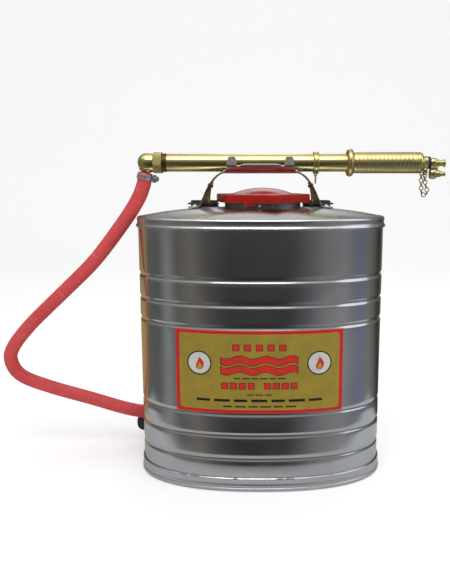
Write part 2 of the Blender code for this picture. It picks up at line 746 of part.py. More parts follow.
# ---- outlet, hose and hose clamps ---------------------------------------------------------------
def outlet_frame():
    """(elbow centre, spud axis, barb direction)."""
    point, normal = wall_place(OUTLET_X, back=True)
    centre = point + Vector((0, 0, OUTLET_Z)) + normal * 0.0225
    toward = Vector((-0.2050, 0.0670, 0.0605)) - centre
    return centre, normal, toward.normalized()


def outlet_fitting():
    centre, normal, barb = outlet_frame()
    place = {"origin": centre, "direction": normal, "steps": SMALL_ROUND}
    spud = [(-0.0095, 0.0100), (-0.0150, 0.0100), (-0.0155, 0.0128), (-0.0216, 0.0128), (-0.0216, 0.0100),
            (-0.0300, 0.0100), (-0.0300, 0.0066), (-0.0095, 0.0066)]
    turned("outlet_spud", "old_brass", spud, **place)
    elbow = rod("outlet_elbow", "brass", -0.0092, 0.0, 0.0098, **place)
    boolean(elbow, ball("outlet_corner", "brass", centre, 0.0098), "UNION")
    boolean(elbow, rod("outlet_barb", "brass", 0.0, 0.038, BARB_RADIUS, origin=centre, direction=barb,
                       steps=SMALL_ROUND), "UNION")
    boolean(elbow, rod("outlet_bore_one", "brass", -0.02, 0.001, 0.0045, **place), "DIFFERENCE")
    boolean(elbow, rod("outlet_bore_two", "brass", 0.0, 0.05, 0.0045, origin=centre, direction=barb,
                       steps=SMALL_ROUND), "DIFFERENCE")


def ball(name, finish, centre, radius, segments=SMALL_ROUND):
    mesh = bpy.data.meshes.new(name)
    work = bmesh.new()
    bmesh.ops.create_uvsphere(work, u_segments=segments, v_segments=segments // 2, radius=radius)
    work.to_mesh(mesh)
    work.free()
    mesh.shade_smooth()
    part = add_part(name, mesh, finish)
    part.location = centre
    return part


def barb_direction():
    return Vector((-math.sin(BARB_TILT), 0.0, -math.cos(BARB_TILT)))


def hose_path():
    elbow = Vector((ELBOW_X, PUMP_Y, PUMP_Z))
    top = elbow + barb_direction() * 0.0150
    centre, _, barb = outlet_frame()
    controls = [
        top, elbow + barb_direction() * 0.024, elbow + barb_direction() * 0.034, (-0.1870, PUMP_Y, 0.4250),
        (-0.2100, -0.0060, 0.3915),
        (-0.2600, 0.0060, 0.3305), (-0.3165, 0.0210, 0.2775), (-0.3760, 0.0320, 0.2220),
        (-0.4100, 0.0400, 0.1820), (-0.4180, 0.0460, 0.1560), (-0.4040, 0.0510, 0.1290),
        (-0.3600, 0.0560, 0.1080), (-0.2900, 0.0610, 0.0850), centre + barb * 0.095,
        centre + barb * 0.045, centre + barb * 0.0130,
    ]
    return smooth_path(controls, 2)


def hose():
    made = wire_object("hose", "red_hose", hose_path(), HOSE_RADIUS, resolution=2, caps=False)
    wall = made.modifiers.new("wall", "SOLIDIFY")
    wall.thickness = HOSE_RADIUS - HOSE_BORE
    wall.offset = -1.0
    return made


CLAMP_HALF_WIDTH = 0.0036
HOUSING_HEIGHT = 0.0078
HOUSING_HALF_LENGTH = 0.0055
HOUSING_HALF_WIDTH = 0.0060
SCREW_REACH = 0.0042           # from the band to the worm screw's axis


def hose_clamp(word, centre, along, side):
    """A worm-drive clamp: its band, its housing beside the hose and its screw."""
    half = CLAMP_HALF_WIDTH
    inner, outer = HOSE_RADIUS + 0.0005, HOSE_RADIUS + 0.0013
    tube(f"clamp_band_{word}", "zinc", -half, half, outer, inner, origin=centre, direction=along, steps=24)
    side = (side - side.project(along)).normalized()
    tangent = along.cross(side).normalized()
    low, high = outer + GAP, outer + HOUSING_HEIGHT
    housing = []
    for reach in (low, high):
        rim = centre + side * reach
        corners = ((-1, -1), (1, -1), (1, 1), (-1, 1))
        housing.append([rim + tangent * (a * HOUSING_HALF_LENGTH) + along * (b * HOUSING_HALF_WIDTH)
                        for a, b in corners])
    case = loft(f"clamp_housing_{word}", "zinc", housing, closed=False)
    middle = centre + side * (outer + SCREW_REACH)
    boolean(case, rod(f"clamp_bore_{word}", "zinc", -0.009, 0.009, 0.0031, origin=middle, direction=tangent,
                      steps=12), "DIFFERENCE")
    screw = [(0.0070, 0.0), (0.0070, 0.0028), (-0.0062, 0.0028), (-0.0062, 0.0042),
             (-0.0102, 0.0042), (-0.0102, 0.0)]
    turned(f"clamp_screw_{word}", "zinc", screw, origin=middle, direction=tangent, steps=12)


def hose_clamps():
    upward = barb_direction()
    upper = Vector((ELBOW_X, PUMP_Y, PUMP_Z)) + upward * 0.0215
    hose_clamp("upper", upper, upward, Vector((1, 0, -0.2)))
    centre, normal, barb = outlet_frame()
    hose_clamp("lower", centre + barb * 0.026, barb, Vector((0, 0.2, 1)))


# ---- pump base and barrel -----------------------------------------------------------------------
def inlet_elbow():
    profile = [(-0.1560, 0.0132), (-0.1585, 0.0132), (-0.1585, 0.0116), (-0.1611, 0.0116),
               (-0.1611, ELBOW_RADIUS), (ELBOW_X, ELBOW_RADIUS)]
    for step in range(1, 4):
        turn = math.radians(90.0) * step / 4
        profile.append((ELBOW_X - ELBOW_RADIUS * math.sin(turn), ELBOW_RADIUS * math.cos(turn)))
    profile += [(ELBOW_X - ELBOW_RADIUS, 0.0), (-0.1795, 0.0), (-0.1775, 0.0060), (-0.1715, 0.0085),
                (-0.1560, 0.0085)]
    # The bore is blind, so the profile starts and ends on it.
    start = profile.index((-0.1795, 0.0))
    ordered = profile[start:] + profile[:start]
    elbow = turned("inlet_elbow", "brass", ordered, **along_pump())
    centre = Vector((ELBOW_X, PUMP_Y, PUMP_Z))
    place = {"origin": centre, "direction": barb_direction(), "steps": SMALL_ROUND}
    barb = [(0.0320, 0.0), (0.0320, 0.0060), (0.0300, BARB_RADIUS), (0.0100, BARB_RADIUS), (0.0100, 0.0)]
    boolean(elbow, turned("inlet_barb", "brass", barb, **place), "UNION")
    boolean(elbow, rod("inlet_bore", "brass", 0.0, 0.05, 0.0048, **place), "DIFFERENCE")
    return elbow


def union_nut():
    chamfer = 0.0006
    profile = [
        (NUT_END, NUT_RADIUS - chamfer), (NUT_END - chamfer, NUT_RADIUS), (NUT_START + chamfer, NUT_RADIUS),
        (NUT_START, NUT_RADIUS - chamfer), (NUT_START, 0.0120), (-0.1590, 0.0120), (-0.1590, 0.0140),
        (NUT_END, 0.0140),
    ]
    turned("union_nut", "brass", profile, **along_pump())
    tube("union_washer", "black_rubber", -0.1557, -0.1549, 0.0131, 0.0090, **along_pump())


def barrel():
    thread = BARREL_RADIUS + 0.0004
    profile = [(BARREL_END, BARREL_RADIUS), (THREAD_END, BARREL_RADIUS), (THREAD_END, thread),
               (BARREL_START, thread), (BARREL_START, BARREL_BORE), (BARREL_END, BARREL_BORE)]
    return turned("barrel", "brass", profile, **along_pump())


def inlet_valve():
    """The inlet seat screwed into the barrel's foot, with the ball free in its cage."""
    seat = [(-0.1335, 0.0119), (-0.1540, 0.0119), (-0.1540, 0.0040), (-0.1500, 0.0040), (-0.1485, 0.0062),
            (-0.1335, 0.0062)]
    part = turned("inlet_seat", "brass", seat, **along_pump())
    bar = rod("inlet_cage_bar", "brass", -0.0110, 0.0110, 0.0011, origin=(-0.1350, PUMP_Y, PUMP_Z),
              direction=(0, 0, 1), steps=8)
    boolean(part, bar, "UNION")
    ball("inlet_ball", "zinc", (-0.1463, PUMP_Y, PUMP_Z), 0.0052)


def barrel_packing():
    tube("packing_ring", "leather", 0.1880, 0.1957, 0.0119, 0.0098, **along_pump())
    profile = [(0.2260, 0.0110), (0.2250, BARREL_RADIUS), (0.2223, BARREL_RADIUS), (0.2223, 0.0119),
               (0.1960, 0.0119), (0.1960, 0.0098), (0.2260, 0.0098)]
    turned("packing_bush", "brass", profile, **along_pump())


BAND_MIDDLE = 0.0830
EYE_DROP = 0.0179              # from the pump's axis down to the hanging ring's eye
HANG_RADIUS = 0.0063


def band_ring():
    profile = [(0.0874, 0.0148), (0.0868, 0.0164), (0.0852, 0.0166), (0.0840, 0.0152), (0.0826, 0.0152),
               (0.0812, 0.0166), (0.0796, 0.0164), (0.0788, 0.0148), (0.0788, 0.01355), (0.0874, 0.01355)]
    band = turned("band_ring", "brass", profile, **along_pump())
    eye_place = (BAND_MIDDLE, PUMP_Y, PUMP_Z - EYE_DROP)
    eye = ring("band_eye", "brass", eye_place, (0, 1, 0), 0.0022, 0.0007, 10, 5)
    boolean(band, eye, "UNION")
    hanging = add_part("hanging_ring", ring_mesh(HANG_RADIUS, 0.0008, 16, 5), "brass")
    turn = Matrix.Rotation(math.radians(90.0), 4, "Y")
    hanging.data.transform(Matrix.Translation((0.0, 0.0, -HANG_RADIUS)) @ turn)
    hanging.location = eye_place


# ---- plunger, grip and nozzle -------------------------------------------------------------------
def plunger():
    tube("plunger_tube", "brass", -0.1120, 0.2405, PLUNGER_RADIUS, PLUNGER_BORE, **along_pump())
    piston = [(-0.1040, 0.0072), (-0.1123, 0.0072), (-0.1123, 0.0114), (-0.1200, 0.0114), (-0.1200, 0.0060),
              (-0.1256, 0.0060), (-0.1256, 0.0080), (-0.1275, 0.0080), (-0.1275, 0.0036), (-0.1060, 0.0036),
              (-0.1040, 0.0058)]
    turned("piston", "brass", piston, **along_pump())
    cup = [(-0.1203, 0.0112), (-0.1235, 0.0119), (-0.1253, 0.0119), (-0.1253, 0.0063), (-0.1203, 0.0063)]
    turned("cup_seal", "leather", cup, **along_pump())
    ball("discharge_ball", "zinc", (-0.1008, PUMP_Y, PUMP_Z), 0.0050)


def grip_sleeve():
    bore, guide = 0.0144, BARREL_RADIUS + 0.0004
    profile = [
        (GRIP_END, GRIP_RADIUS), (0.1397, GRIP_RADIUS), (0.1391, 0.0178), (0.1373, 0.0201), (0.1343, 0.0207),
        (0.1313, 0.0201), (0.1293, 0.0178), (GRIP_START, 0.0150), (GRIP_START, guide), (0.1353, guide),
        (0.1373, bore), (GRIP_END, bore),
    ]
    return turned("grip_sleeve", "brass", profile, **along_pump())


def grip_end_cap():
    """Closes the sleeve, holds the plunger tube and carries the nozzle's neck and swivel lug."""
    start = GRIP_END + GAP
    profile = [(NECK_END, 0.0095), (0.2449, 0.0095)]
    for step in range(4):
        turn = math.radians(90.0) * step / 3
        profile.append((0.2373 + 0.0070 * math.cos(turn), 0.0098 + 0.0060 * math.sin(turn)))
    profile += [(start, GRIP_RADIUS), (start, 0.0141), (0.2263, 0.0141), (0.2263, 0.0098), (0.2409, 0.0098),
                (0.2409, 0.0058), (NECK_END, 0.0058)]
    cap = turned("grip_end_cap", "brass", profile, **along_pump())
    lug = [(0.2508, 0.0), (0.2508, 0.0062), (0.2460, 0.0062), (0.2460, 0.0)]
    swivel = turned("swivel_lug", "brass", lug, steps=SMALL_ROUND, **along_pump(-HEAD_DROP - SWIVEL_DROP))
    boolean(cap, swivel, "UNION")
    bore = rod("neck_bore", "brass", 0.2413, 0.2573, 0.0058, **along_pump())
    boolean(cap, bore, "DIFFERENCE")
    pivot = rod("pivot_hole", "brass", 0.2413, 0.2673, PIVOT_HOLE, steps=SMALL_ROUND, **along_pump(-HEAD_DROP))
    boolean(cap, pivot, "DIFFERENCE")
    for name, place in (("chain_eye_left", CHAIN_LEFT), ("chain_eye_right", CHAIN_RIGHT)):
        boolean(cap, ring(name, "brass", place, (0, 1, 0), 0.0024, 0.0007, 10, 5), "UNION")
    return cap


def nozzle():
    gasket = [(0.2550, 0.0092), (0.2511, 0.0092), (0.2511, 0.0040), (0.2550, 0.0040)]
    seal = turned("nozzle_gasket", "black_rubber", gasket, steps=24, **along_pump())
    notch = rod("gasket_notch", "black_rubber", 0.2473, 0.2573, 0.0021, steps=12, **along_pump(-HEAD_DROP))
    boolean(seal, notch, "DIFFERENCE")
    lobe = [(HEAD_END, 0.0), (HEAD_END, 0.0070), (HEAD_END - 0.0010, 0.0078), (HEAD_START + 0.0008, 0.0078),
            (HEAD_START, 0.0070), (HEAD_START, 0.0)]
    upper, lower = along_pump(TIP_OFFSET - HEAD_DROP), along_pump(-TIP_OFFSET - HEAD_DROP)
    head = turned("nozzle_head", "brass", lobe, steps=24, **upper)
    boolean(head, turned("lower_lobe", "brass", lobe, steps=24, **lower), "UNION")
    web_ends = (HEAD_START + 0.0004, HEAD_END - 0.0004)
    web = rod("head_web", "brass", *web_ends, 0.0058, steps=16, **along_pump(-HEAD_DROP))
    boolean(head, web, "UNION")
    ways = (("upper_way", 0.0024, upper), ("lower_way", 0.0014, lower),
            ("screw_way", PIVOT_HOLE, along_pump(-HEAD_DROP)))
    for name, radius, place in ways:
        boolean(head, rod(name, "brass", *HEAD_WAYS, radius, steps=SMALL_ROUND, **place), "DIFFERENCE")
    screw = [(0.2679, 0.0), (0.2679, 0.0018), (0.2673, 0.0023), (0.2656, 0.0023), (0.2656, 0.0014),
             (0.2469, 0.0014), (0.2469, 0.0)]
    turned("pivot_screw", "zinc", screw, steps=12, **along_pump(-HEAD_DROP))
    start = HEAD_END + GAP
    stream = [(0.2783, 0.0050), (0.2776, 0.0060), (0.2755, 0.0060), (0.2747, 0.0050), (0.2735, 0.0042),
              (start + 0.0030, 0.0052), (start, 0.0052), (start, 0.0024), (0.2783, 0.0016)]
    turned("stream_tip", "brass", stream, steps=20, **upper)
    spray = [(0.2787, 0.0032), (0.2781, 0.0038), (0.2765, 0.0038), (0.2759, 0.0030), (0.2749, 0.0027),
             (start + 0.0035, 0.0052), (start, 0.0052), (start, 0.0014), (0.2787, 0.0009)]
    turned("spray_tip", "brass", spray, steps=20, **lower)


CHAIN_LEFT = (0.2428, PUMP_Y, PUMP_Z - GRIP_RADIUS - 0.0012)
CHAIN_RIGHT = (0.2485, PUMP_Y, PUMP_Z - HEAD_DROP - SWIVEL_DROP - 0.0080)
LINK_RADIUS = 0.0028
LINK_WIRE = 0.0007
LINK_PITCH = 0.0048            # shortest step between links that still interlock
LINK_HANG = 0.0036             # from an eye's middle down to the middle of the link in it


def chain_places():
    """Middles and directions of the links along a hanging U between the two eyes."""
    hang = Vector((0.0, 0.0, -LINK_HANG))
    left, right = Vector(CHAIN_LEFT) + hang, Vector(CHAIN_RIGHT) + hang
    sag = [
        left, left + Vector((0.0004, 0, -0.012)), Vector((0.2443, PUMP_Y, 0.4360)),
        Vector((0.2488, PUMP_Y, 0.4325)), Vector((0.2528, PUMP_Y, 0.4370)),
        right + Vector((0.0012, 0, -0.009)), right,
    ]
    path = smooth_path(sag, 12)
    lengths = [0.0]
    for a, b in zip(path, path[1:]):
        lengths.append(lengths[-1] + (b - a).length)
    count = 2 * int(lengths[-1] / LINK_PITCH / 2) + 1
    places = []
    for i in range(count):
        wanted = lengths[-1] * i / (count - 1)
        index = min(int(np.searchsorted(lengths, wanted)), len(path) - 1)
        before = path[max(index - 2, 0)]
        after = path[min(index + 2, len(path) - 1)]
        places.append((path[index], (after - before).normalized()))
    return places


def chain():
    """Round links, each turned a quarter from the last; each touches the next at rest."""
    made = None
    for i, (place, along) in enumerate(chain_places()):
        flat = Vector((0, 1, 0))
        axis = flat if i % 2 else along.cross(flat).normalized()
        name = "chain" if made is None else f"link_{i}"
        link = ring(name, "brass", place, axis, LINK_RADIUS, LINK_WIRE, 8, 4)
        made = link if made is None else boolean(made, link, "UNION")
    return made


def build():
    tank_shell()
    tank_bottom()
    top_cover()
    filler_neck()
    strainer()
    label_plate()
    filler_cap()
    cap_gasket()
    carry_handle()
    foot_rivets()
    for side, word in ((-1, "left"), (1, "right")):
        strap_hanger(side, word)
        shoulder_strap(side, word)
        strap_slide(side, word)
        strap_loop(side, word)
        lower_bracket(side, word)
    outlet_fitting()
    hose()
    hose_clamps()
    inlet_elbow()
    union_nut()
    barrel()
    inlet_valve()
    barrel_packing()
    band_ring()
    plunger()
    grip_sleeve()
    grip_end_cap()
    nozzle()
    chain()


build()
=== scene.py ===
"""Looks of the backpack fire pump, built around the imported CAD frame.

Metres, +Z up, in the CAD's own frame: +X points to the nozzle, -Y is the labelled front of the tank and +Y the
wearer's back. Every visible piece rides on a CAD body. Sizes come from the CAD nodes' boxes where they can.
"""

import math

import bmesh
import bpy
import numpy as np
from mathutils import Matrix, Vector

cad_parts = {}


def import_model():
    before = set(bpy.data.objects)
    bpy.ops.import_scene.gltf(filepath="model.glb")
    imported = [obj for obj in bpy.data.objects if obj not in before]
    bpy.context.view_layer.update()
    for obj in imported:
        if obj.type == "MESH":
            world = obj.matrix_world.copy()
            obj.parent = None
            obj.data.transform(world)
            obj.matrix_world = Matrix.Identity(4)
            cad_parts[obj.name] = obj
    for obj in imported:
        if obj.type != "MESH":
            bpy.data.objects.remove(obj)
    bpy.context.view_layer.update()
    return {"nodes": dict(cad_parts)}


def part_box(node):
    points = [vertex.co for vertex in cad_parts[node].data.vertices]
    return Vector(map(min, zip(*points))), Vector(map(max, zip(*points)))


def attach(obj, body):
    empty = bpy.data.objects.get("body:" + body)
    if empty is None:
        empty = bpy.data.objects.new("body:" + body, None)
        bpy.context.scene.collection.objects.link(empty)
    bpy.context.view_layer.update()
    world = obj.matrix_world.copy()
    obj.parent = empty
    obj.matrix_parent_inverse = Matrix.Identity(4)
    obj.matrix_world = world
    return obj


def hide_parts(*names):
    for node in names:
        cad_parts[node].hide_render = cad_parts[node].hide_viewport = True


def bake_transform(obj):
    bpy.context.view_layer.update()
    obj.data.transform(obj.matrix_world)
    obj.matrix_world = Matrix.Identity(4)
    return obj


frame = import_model()
NODES = frame["nodes"]

# ---- sizes shared by several pieces -------------------------------------------------------------
SHELL_LOW, SHELL_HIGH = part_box("tank_shell")
BARREL_LOW, BARREL_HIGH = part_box("barrel")
GRIP_LOW, GRIP_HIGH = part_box("grip_sleeve")
CAP_LOW, CAP_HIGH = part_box("filler_cap")
NECK_LOW, NECK_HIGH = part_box("filler_neck")
LABEL_LOW, LABEL_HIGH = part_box("label_plate")

PUMP_Y = (BARREL_LOW.y + BARREL_HIGH.y) / 2
PUMP_Z = (BARREL_LOW.z + BARREL_HIGH.z) / 2
NECK_X = (NECK_LOW.x + NECK_HIGH.x) / 2

TANK_HALF_WIDTH = SHELL_HIGH.x
FRONT_DEPTH = 0.105
BACK_DEPTH = 0.082
SQUARENESS = 2.3
BACK_HOLLOW = 0.018
HOLLOW_WIDTH = 0.090
GROOVE_HEIGHTS = (0.0500, 0.0855, 0.1185, 0.2470, 0.2795, 0.3150)
GROOVE_DEPTH = 0.0018
GROOVE_REACH = 0.0052
SHEET = 0.0008
GAP = 0.0003

HOSE_RADIUS = 0.0109
HOSE_BORE = 0.0076
BARREL_RADIUS = 0.01325
GRIP_RADIUS = 0.0158
HEAD_DROP = 0.0085
TIP_OFFSET = 0.0079
SADDLE_RADIUS = 0.0150
STRAP_WIDTH = 0.042
WEBBING = 0.0026

FINE = 96                      # points around a turned piece
OUTLINE = 288                  # points around the tank


# ---- materials ----------------------------------------------------------------------------------
class Finish:
    """A Principled material, with short calls that add nodes to it."""

    def __init__(self, name, color, roughness, metallic=0.0, **inputs):
        self.material = bpy.data.materials.new(name)
        self.material.use_nodes = True
        self.tree = self.material.node_tree
        self.shader = self.tree.nodes["Principled BSDF"]
        self.put(self.shader, "Base Color", (*color, 1.0))
        self.put(self.shader, "Roughness", roughness)
        self.put(self.shader, "Metallic", metallic)
        for key, value in inputs.items():
            self.put(self.shader, key.replace("_", " "), value)
        self.material.diffuse_color = (*color, 1.0)

    def put(self, node, key, value):
        """Links a socket, or sets a value."""
        if isinstance(value, bpy.types.NodeSocket):
            self.tree.links.new(value, node.inputs[key])
        else:
            node.inputs[key].default_value = value

    def node(self, kind, settings=None, **inputs):
        made = self.tree.nodes.new(kind)
        for key, value in (settings or {}).items():
            setattr(made, key, value)
        for key, value in inputs.items():
            place = int(key[1:]) if key[0] == "i" and key[1:].isdigit() else key.replace("_", " ")
            self.put(made, place, value)
        return made

    def place(self, scale=(1.0, 1.0, 1.0), kind="Object"):
        coordinate = self.node("ShaderNodeTexCoord").outputs[kind]
        return self.node("ShaderNodeMapping", Vector=coordinate, Scale=scale).outputs[0]

    def noise(self, scale, detail=3.0, stretch=(1.0, 1.0, 1.0), kind="Object", distortion=0.0):
        made = self.node("ShaderNodeTexNoise", Vector=self.place(stretch, kind), Scale=scale, Detail=detail,
                         Distortion=distortion)
        return made.outputs[0]

    def span(self, value, low, high, start=0.3, end=0.7):
        """Maps value from start..end to low..high."""
        made = self.node("ShaderNodeMapRange", i0=value, i1=start, i2=end, i3=low, i4=high)
        made.clamp = True
        return made.outputs[0]

    def blend(self, share, first, second, mode="MIX"):
        made = self.node("ShaderNodeMix", {"data_type": "RGBA", "blend_type": mode})
        self.put(made, 0, share)
        for index, value in ((6, first), (7, second)):
            self.put(made, index, (*value, 1.0) if isinstance(value, tuple) else value)
        return made.outputs[2]

    def math(self, operation, first, second=0.0):
        return self.node("ShaderNodeMath", {"operation": operation}, i0=first, i1=second).outputs[0]

    def bump(self, height, strength, distance, under=None):
        made = self.node("ShaderNodeBump", Height=height, Strength=strength, Distance=distance)
        if under is not None:
            self.put(made, "Normal", under)
        return made.outputs[0]

    def use(self, **inputs):
        for key, value in inputs.items():
            self.put(self.shader, key.replace("_", " "), value)
        return self.material


def edge_wear(finish, low=0.52, high=0.60):
    """1 on convex edges, broken up by noise, and 0 elsewhere."""
    pointed = finish.node("ShaderNodeNewGeometry").outputs["Pointiness"]
    edges = finish.span(pointed, 0.0, 1.0, low, high)
    return finish.math("MULTIPLY", edges, finish.span(finish.noise(220.0, 4.0), 0.0, 1.0, 0.42, 0.62))


def sheet_metal(name, color, roughness, waves=0.35, painted_pale_bands=()):
    """Bright rolled sheet: faint rolling lines, handling smudges and the gentle waves of thin metal."""
    f = Finish(name, color, roughness, 1.0)
    lines = f.noise(9.0, 5.0, (1.0, 1.0, 60.0))
    smudge = f.noise(14.0, 6.0, distortion=0.6)
    specks = f.noise(900.0, 2.0)
    smudge_and_painted_pale = tuple(value * 0.82 for value in color)
    tone = f.blend(f.span(smudge, 0.0, 0.55), color, smudge_and_painted_pale)
    tone = f.blend(f.span(specks, 0.0, 0.30, 0.60, 0.75), tone, (0.30, 0.30, 0.31))
    rough = f.math("ADD", f.span(smudge, roughness - 0.04, roughness + 0.09), f.span(lines, -0.02, 0.03))
    normal = f.bump(f.noise(7.0, 1.0, (1.0, 1.0, 0.45)), waves, 0.0035)
    normal = f.bump(lines, 0.10, 0.0001, normal)
    normal = f.bump(specks, 0.06, 0.0001, normal)
    # Painted light: a narrow band just under the first height, and all of the sheet above the second height, lose part
    # of their metallic. They show as pale diffuse grey in place of light and reflection; the metal there is the same.
    if painted_pale_bands:
        height = f.node("ShaderNodeSeparateXYZ", Vector=f.place()).outputs[2]
        low, high = painted_pale_bands
        lip = f.math("MULTIPLY", f.span(height, 1.0, 0.0, low - 0.0008, low + 0.0008),
                     f.span(height, 0.0, 1.0, low - 0.0040, low - 0.0034))
        smudge_and_painted_pale = f.math("MAXIMUM", lip, f.span(height, 0.0, 1.0, high - 0.001, high + 0.001))
        f.use(Metallic=f.math("SUBTRACT", 1.0, f.math("MULTIPLY", smudge_and_painted_pale, 0.38)))
    return f.use(Base_Color=tone, Roughness=rough, Normal=normal)


def turned_metal(name, color, dark, roughness, stretch=(260.0, 3.0, 3.0), tarnish=0.45):
    """Lathe-turned metal: fine tool marks round the axis, with tarnish in patches and a little dirt."""
    f = Finish(name, color, roughness, 1.0)
    marks = f.noise(4.0, 3.0, stretch)
    patches = f.noise(42.0, 6.0, distortion=0.8)
    tone = f.blend(f.span(patches, 0.0, tarnish, 0.42, 0.70), color, dark)
    rough = f.math("ADD", f.span(patches, roughness - 0.03, roughness + 0.10), f.span(marks, -0.02, 0.04))
    normal = f.bump(marks, 0.10, 0.00012)
    normal = f.bump(f.noise(1400.0, 2.0), 0.05, 0.0001, normal)
    return f.use(Base_Color=tone, Roughness=rough, Normal=normal)


def cast_metal(name, color, dark, roughness):
    """Pressed or cast metal with a fine pitted skin, darker patches and paler worn edges."""
    f = Finish(name, color, roughness, 1.0)
    patches = f.noise(60.0, 6.0, distortion=0.5)
    pits = f.noise(700.0, 3.0)
    tone = f.blend(f.span(patches, 0.0, 0.8), color, dark)
    tone = f.blend(edge_wear(f), tone, tuple(min(1.0, value * 1.5) for value in color))
    normal = f.bump(pits, 0.20, 0.0002)
    return f.use(Base_Color=tone, Roughness=f.span(patches, roughness - 0.06, roughness + 0.12), Normal=normal)


def enamel(name, color, dark, roughness=0.22):
    """Thick gloss paint with orange peel, fine dust and paler, thinner edges."""
    f = Finish(name, color, roughness, 0.0, Coat_Weight=0.40, Coat_Roughness=0.05,
               Specular_IOR_Level=0.22)
    patches = f.noise(35.0, 5.0, distortion=0.5)
    tone = f.blend(f.span(patches, 0.0, 1.0), color, dark)
    light = tuple(min(1.0, value * 1.25 + 0.012) for value in color)
    tone = f.blend(f.math("MULTIPLY", edge_wear(f, 0.53, 0.64), 0.7), tone, light)
    dust = f.span(f.noise(1800.0, 2.0), 0.0, 0.16, 0.66, 0.74)
    tone = f.blend(dust, tone, (0.45, 0.20, 0.15))
    normal = f.bump(f.noise(320.0, 2.0), 0.10, 0.0002)
    return f.use(Base_Color=tone, Roughness=f.span(patches, roughness - 0.05, roughness + 0.12), Normal=normal)


def hose_rubber():
    """Red rubber with a faint wrap pattern from its curing tape, chalky scuffs and fine dust."""
    f = Finish("hose_rubber", (0.50, 0.085, 0.085), 0.5, 0.0, Specular_IOR_Level=0.25)
    wrap = f.node("ShaderNodeTexWave", {"wave_type": "BANDS", "bands_direction": "Y"}, Vector=f.place(kind="UV"),
                  Scale=0.35, Distortion=0.4, Detail=1.0).outputs[0]
    scuffs = f.noise(90.0, 6.0, distortion=1.0)
    cloth = f.noise(1600.0, 3.0)
    tone = f.blend(f.span(f.noise(18.0, 4.0), 0.0, 1.0), (0.68, 0.082, 0.084), (0.56, 0.058, 0.062))
    tone = f.blend(f.span(scuffs, 0.0, 0.35, 0.58, 0.75), tone, (0.74, 0.30, 0.29))
    tone = f.blend(f.span(wrap, 0.0, 0.10), tone, (0.34, 0.04, 0.045))
    grain = f.math("ADD", cloth, f.math("MULTIPLY", wrap, 0.5))
    normal = f.bump(grain, 0.22, 0.0003)
    return f.use(Base_Color=tone, Roughness=f.span(scuffs, 0.40, 0.62), Normal=normal)


def rubber(name, color):
    f = Finish(name, color, 0.6, 0.0)
    grain = f.noise(900.0, 4.0)
    tone = f.blend(f.span(f.noise(60.0, 4.0), 0.0, 0.8), color, tuple(value * 1.8 + 0.01 for value in color))
    return f.use(Base_Color=tone, Roughness=f.span(grain, 0.5, 0.75), Normal=f.bump(grain, 0.25, 0.0003))


def webbing():
    """Black webbing: a herringbone of warp and weft from the strap's own UVs, in metres, with pale fibre ends."""
    f = Finish("strap_webbing", (0.016, 0.016, 0.018), 0.8, 0.0, Sheen_Weight=0.35, Sheen_Roughness=0.4)
    parts = f.node("ShaderNodeSeparateXYZ", Vector=f.place(kind="UV")).outputs
    warp = f.math("SINE", f.math("MULTIPLY", parts[0], 2 * math.pi / 0.0016))
    zigzag = f.math("PINGPONG", parts[0], 0.0070)
    weft = f.math("SINE", f.math("MULTIPLY", f.math("ADD", parts[1], zigzag), 2 * math.pi / 0.0022))
    weave = f.math("MULTIPLY", f.math("ADD", warp, 1.4), f.math("ADD", weft, 1.4))
    height = f.math("ADD", f.math("MULTIPLY", weave, 0.25), f.math("MULTIPLY", f.noise(2500.0, 2.0), 0.35))
    tone = f.blend(f.span(weave, 0.0, 1.0, 0.2, 4.5), (0.007, 0.007, 0.008), (0.040, 0.039, 0.042))
    tone = f.blend(f.span(f.noise(30.0, 5.0), 0.0, 0.35, 0.5, 0.8), tone, (0.085, 0.080, 0.075))
    return f.use(Base_Color=tone, Normal=f.bump(height, 0.8, 0.0005))


def leather():
    f = Finish("oiled_leather", (0.17, 0.085, 0.035), 0.55)
    cells = f.node("ShaderNodeTexVoronoi", Vector=f.place(), Scale=900.0).outputs[0]
    tone = f.blend(f.span(f.noise(120.0, 5.0), 0.0, 1.0), (0.20, 0.10, 0.045), (0.09, 0.04, 0.02))
    return f.use(Base_Color=tone, Roughness=f.span(cells, 0.45, 0.7, 0.0, 0.8), Normal=f.bump(cells, 0.4, 0.0003))


def print_ink(name, color, roughness=0.35):
    """Ink baked on the label plate: slightly uneven, with fine scratches down to a paler tone."""
    f = Finish(name, color, roughness, 0.0, Coat_Weight=0.15, Coat_Roughness=0.15)
    mottle = f.noise(55.0, 5.0)
    scratch = f.noise(26.0, 5.0, (9.0, 9.0, 0.6), distortion=0.3)
    shade = tuple(value * 0.80 for value in color)
    pale = tuple(min(1.0, value * 1.35 + 0.02) for value in color)
    tone = f.blend(f.span(mottle, 0.0, 1.0), color, shade)
    tone = f.blend(f.span(scratch, 0.0, 0.45, 0.66, 0.74), tone, pale)
    normal = f.bump(f.noise(600.0, 2.0), 0.05, 0.0001)
    return f.use(Base_Color=tone, Roughness=f.span(mottle, roughness - 0.06, roughness + 0.10), Normal=normal)


TANK_METAL = sheet_metal("tank_sheet", (0.66, 0.67, 0.68), 0.13)
COVER_METAL = sheet_metal("cover_sheet", (0.68, 0.68, 0.70), 0.24, 0.6)
RIM_METAL = sheet_metal("rim_sheet", (0.68, 0.69, 0.71), 0.26, 0.2)
NECK_METAL = cast_metal("neck_plate", (0.30, 0.30, 0.29), (0.17, 0.17, 0.165), 0.42)
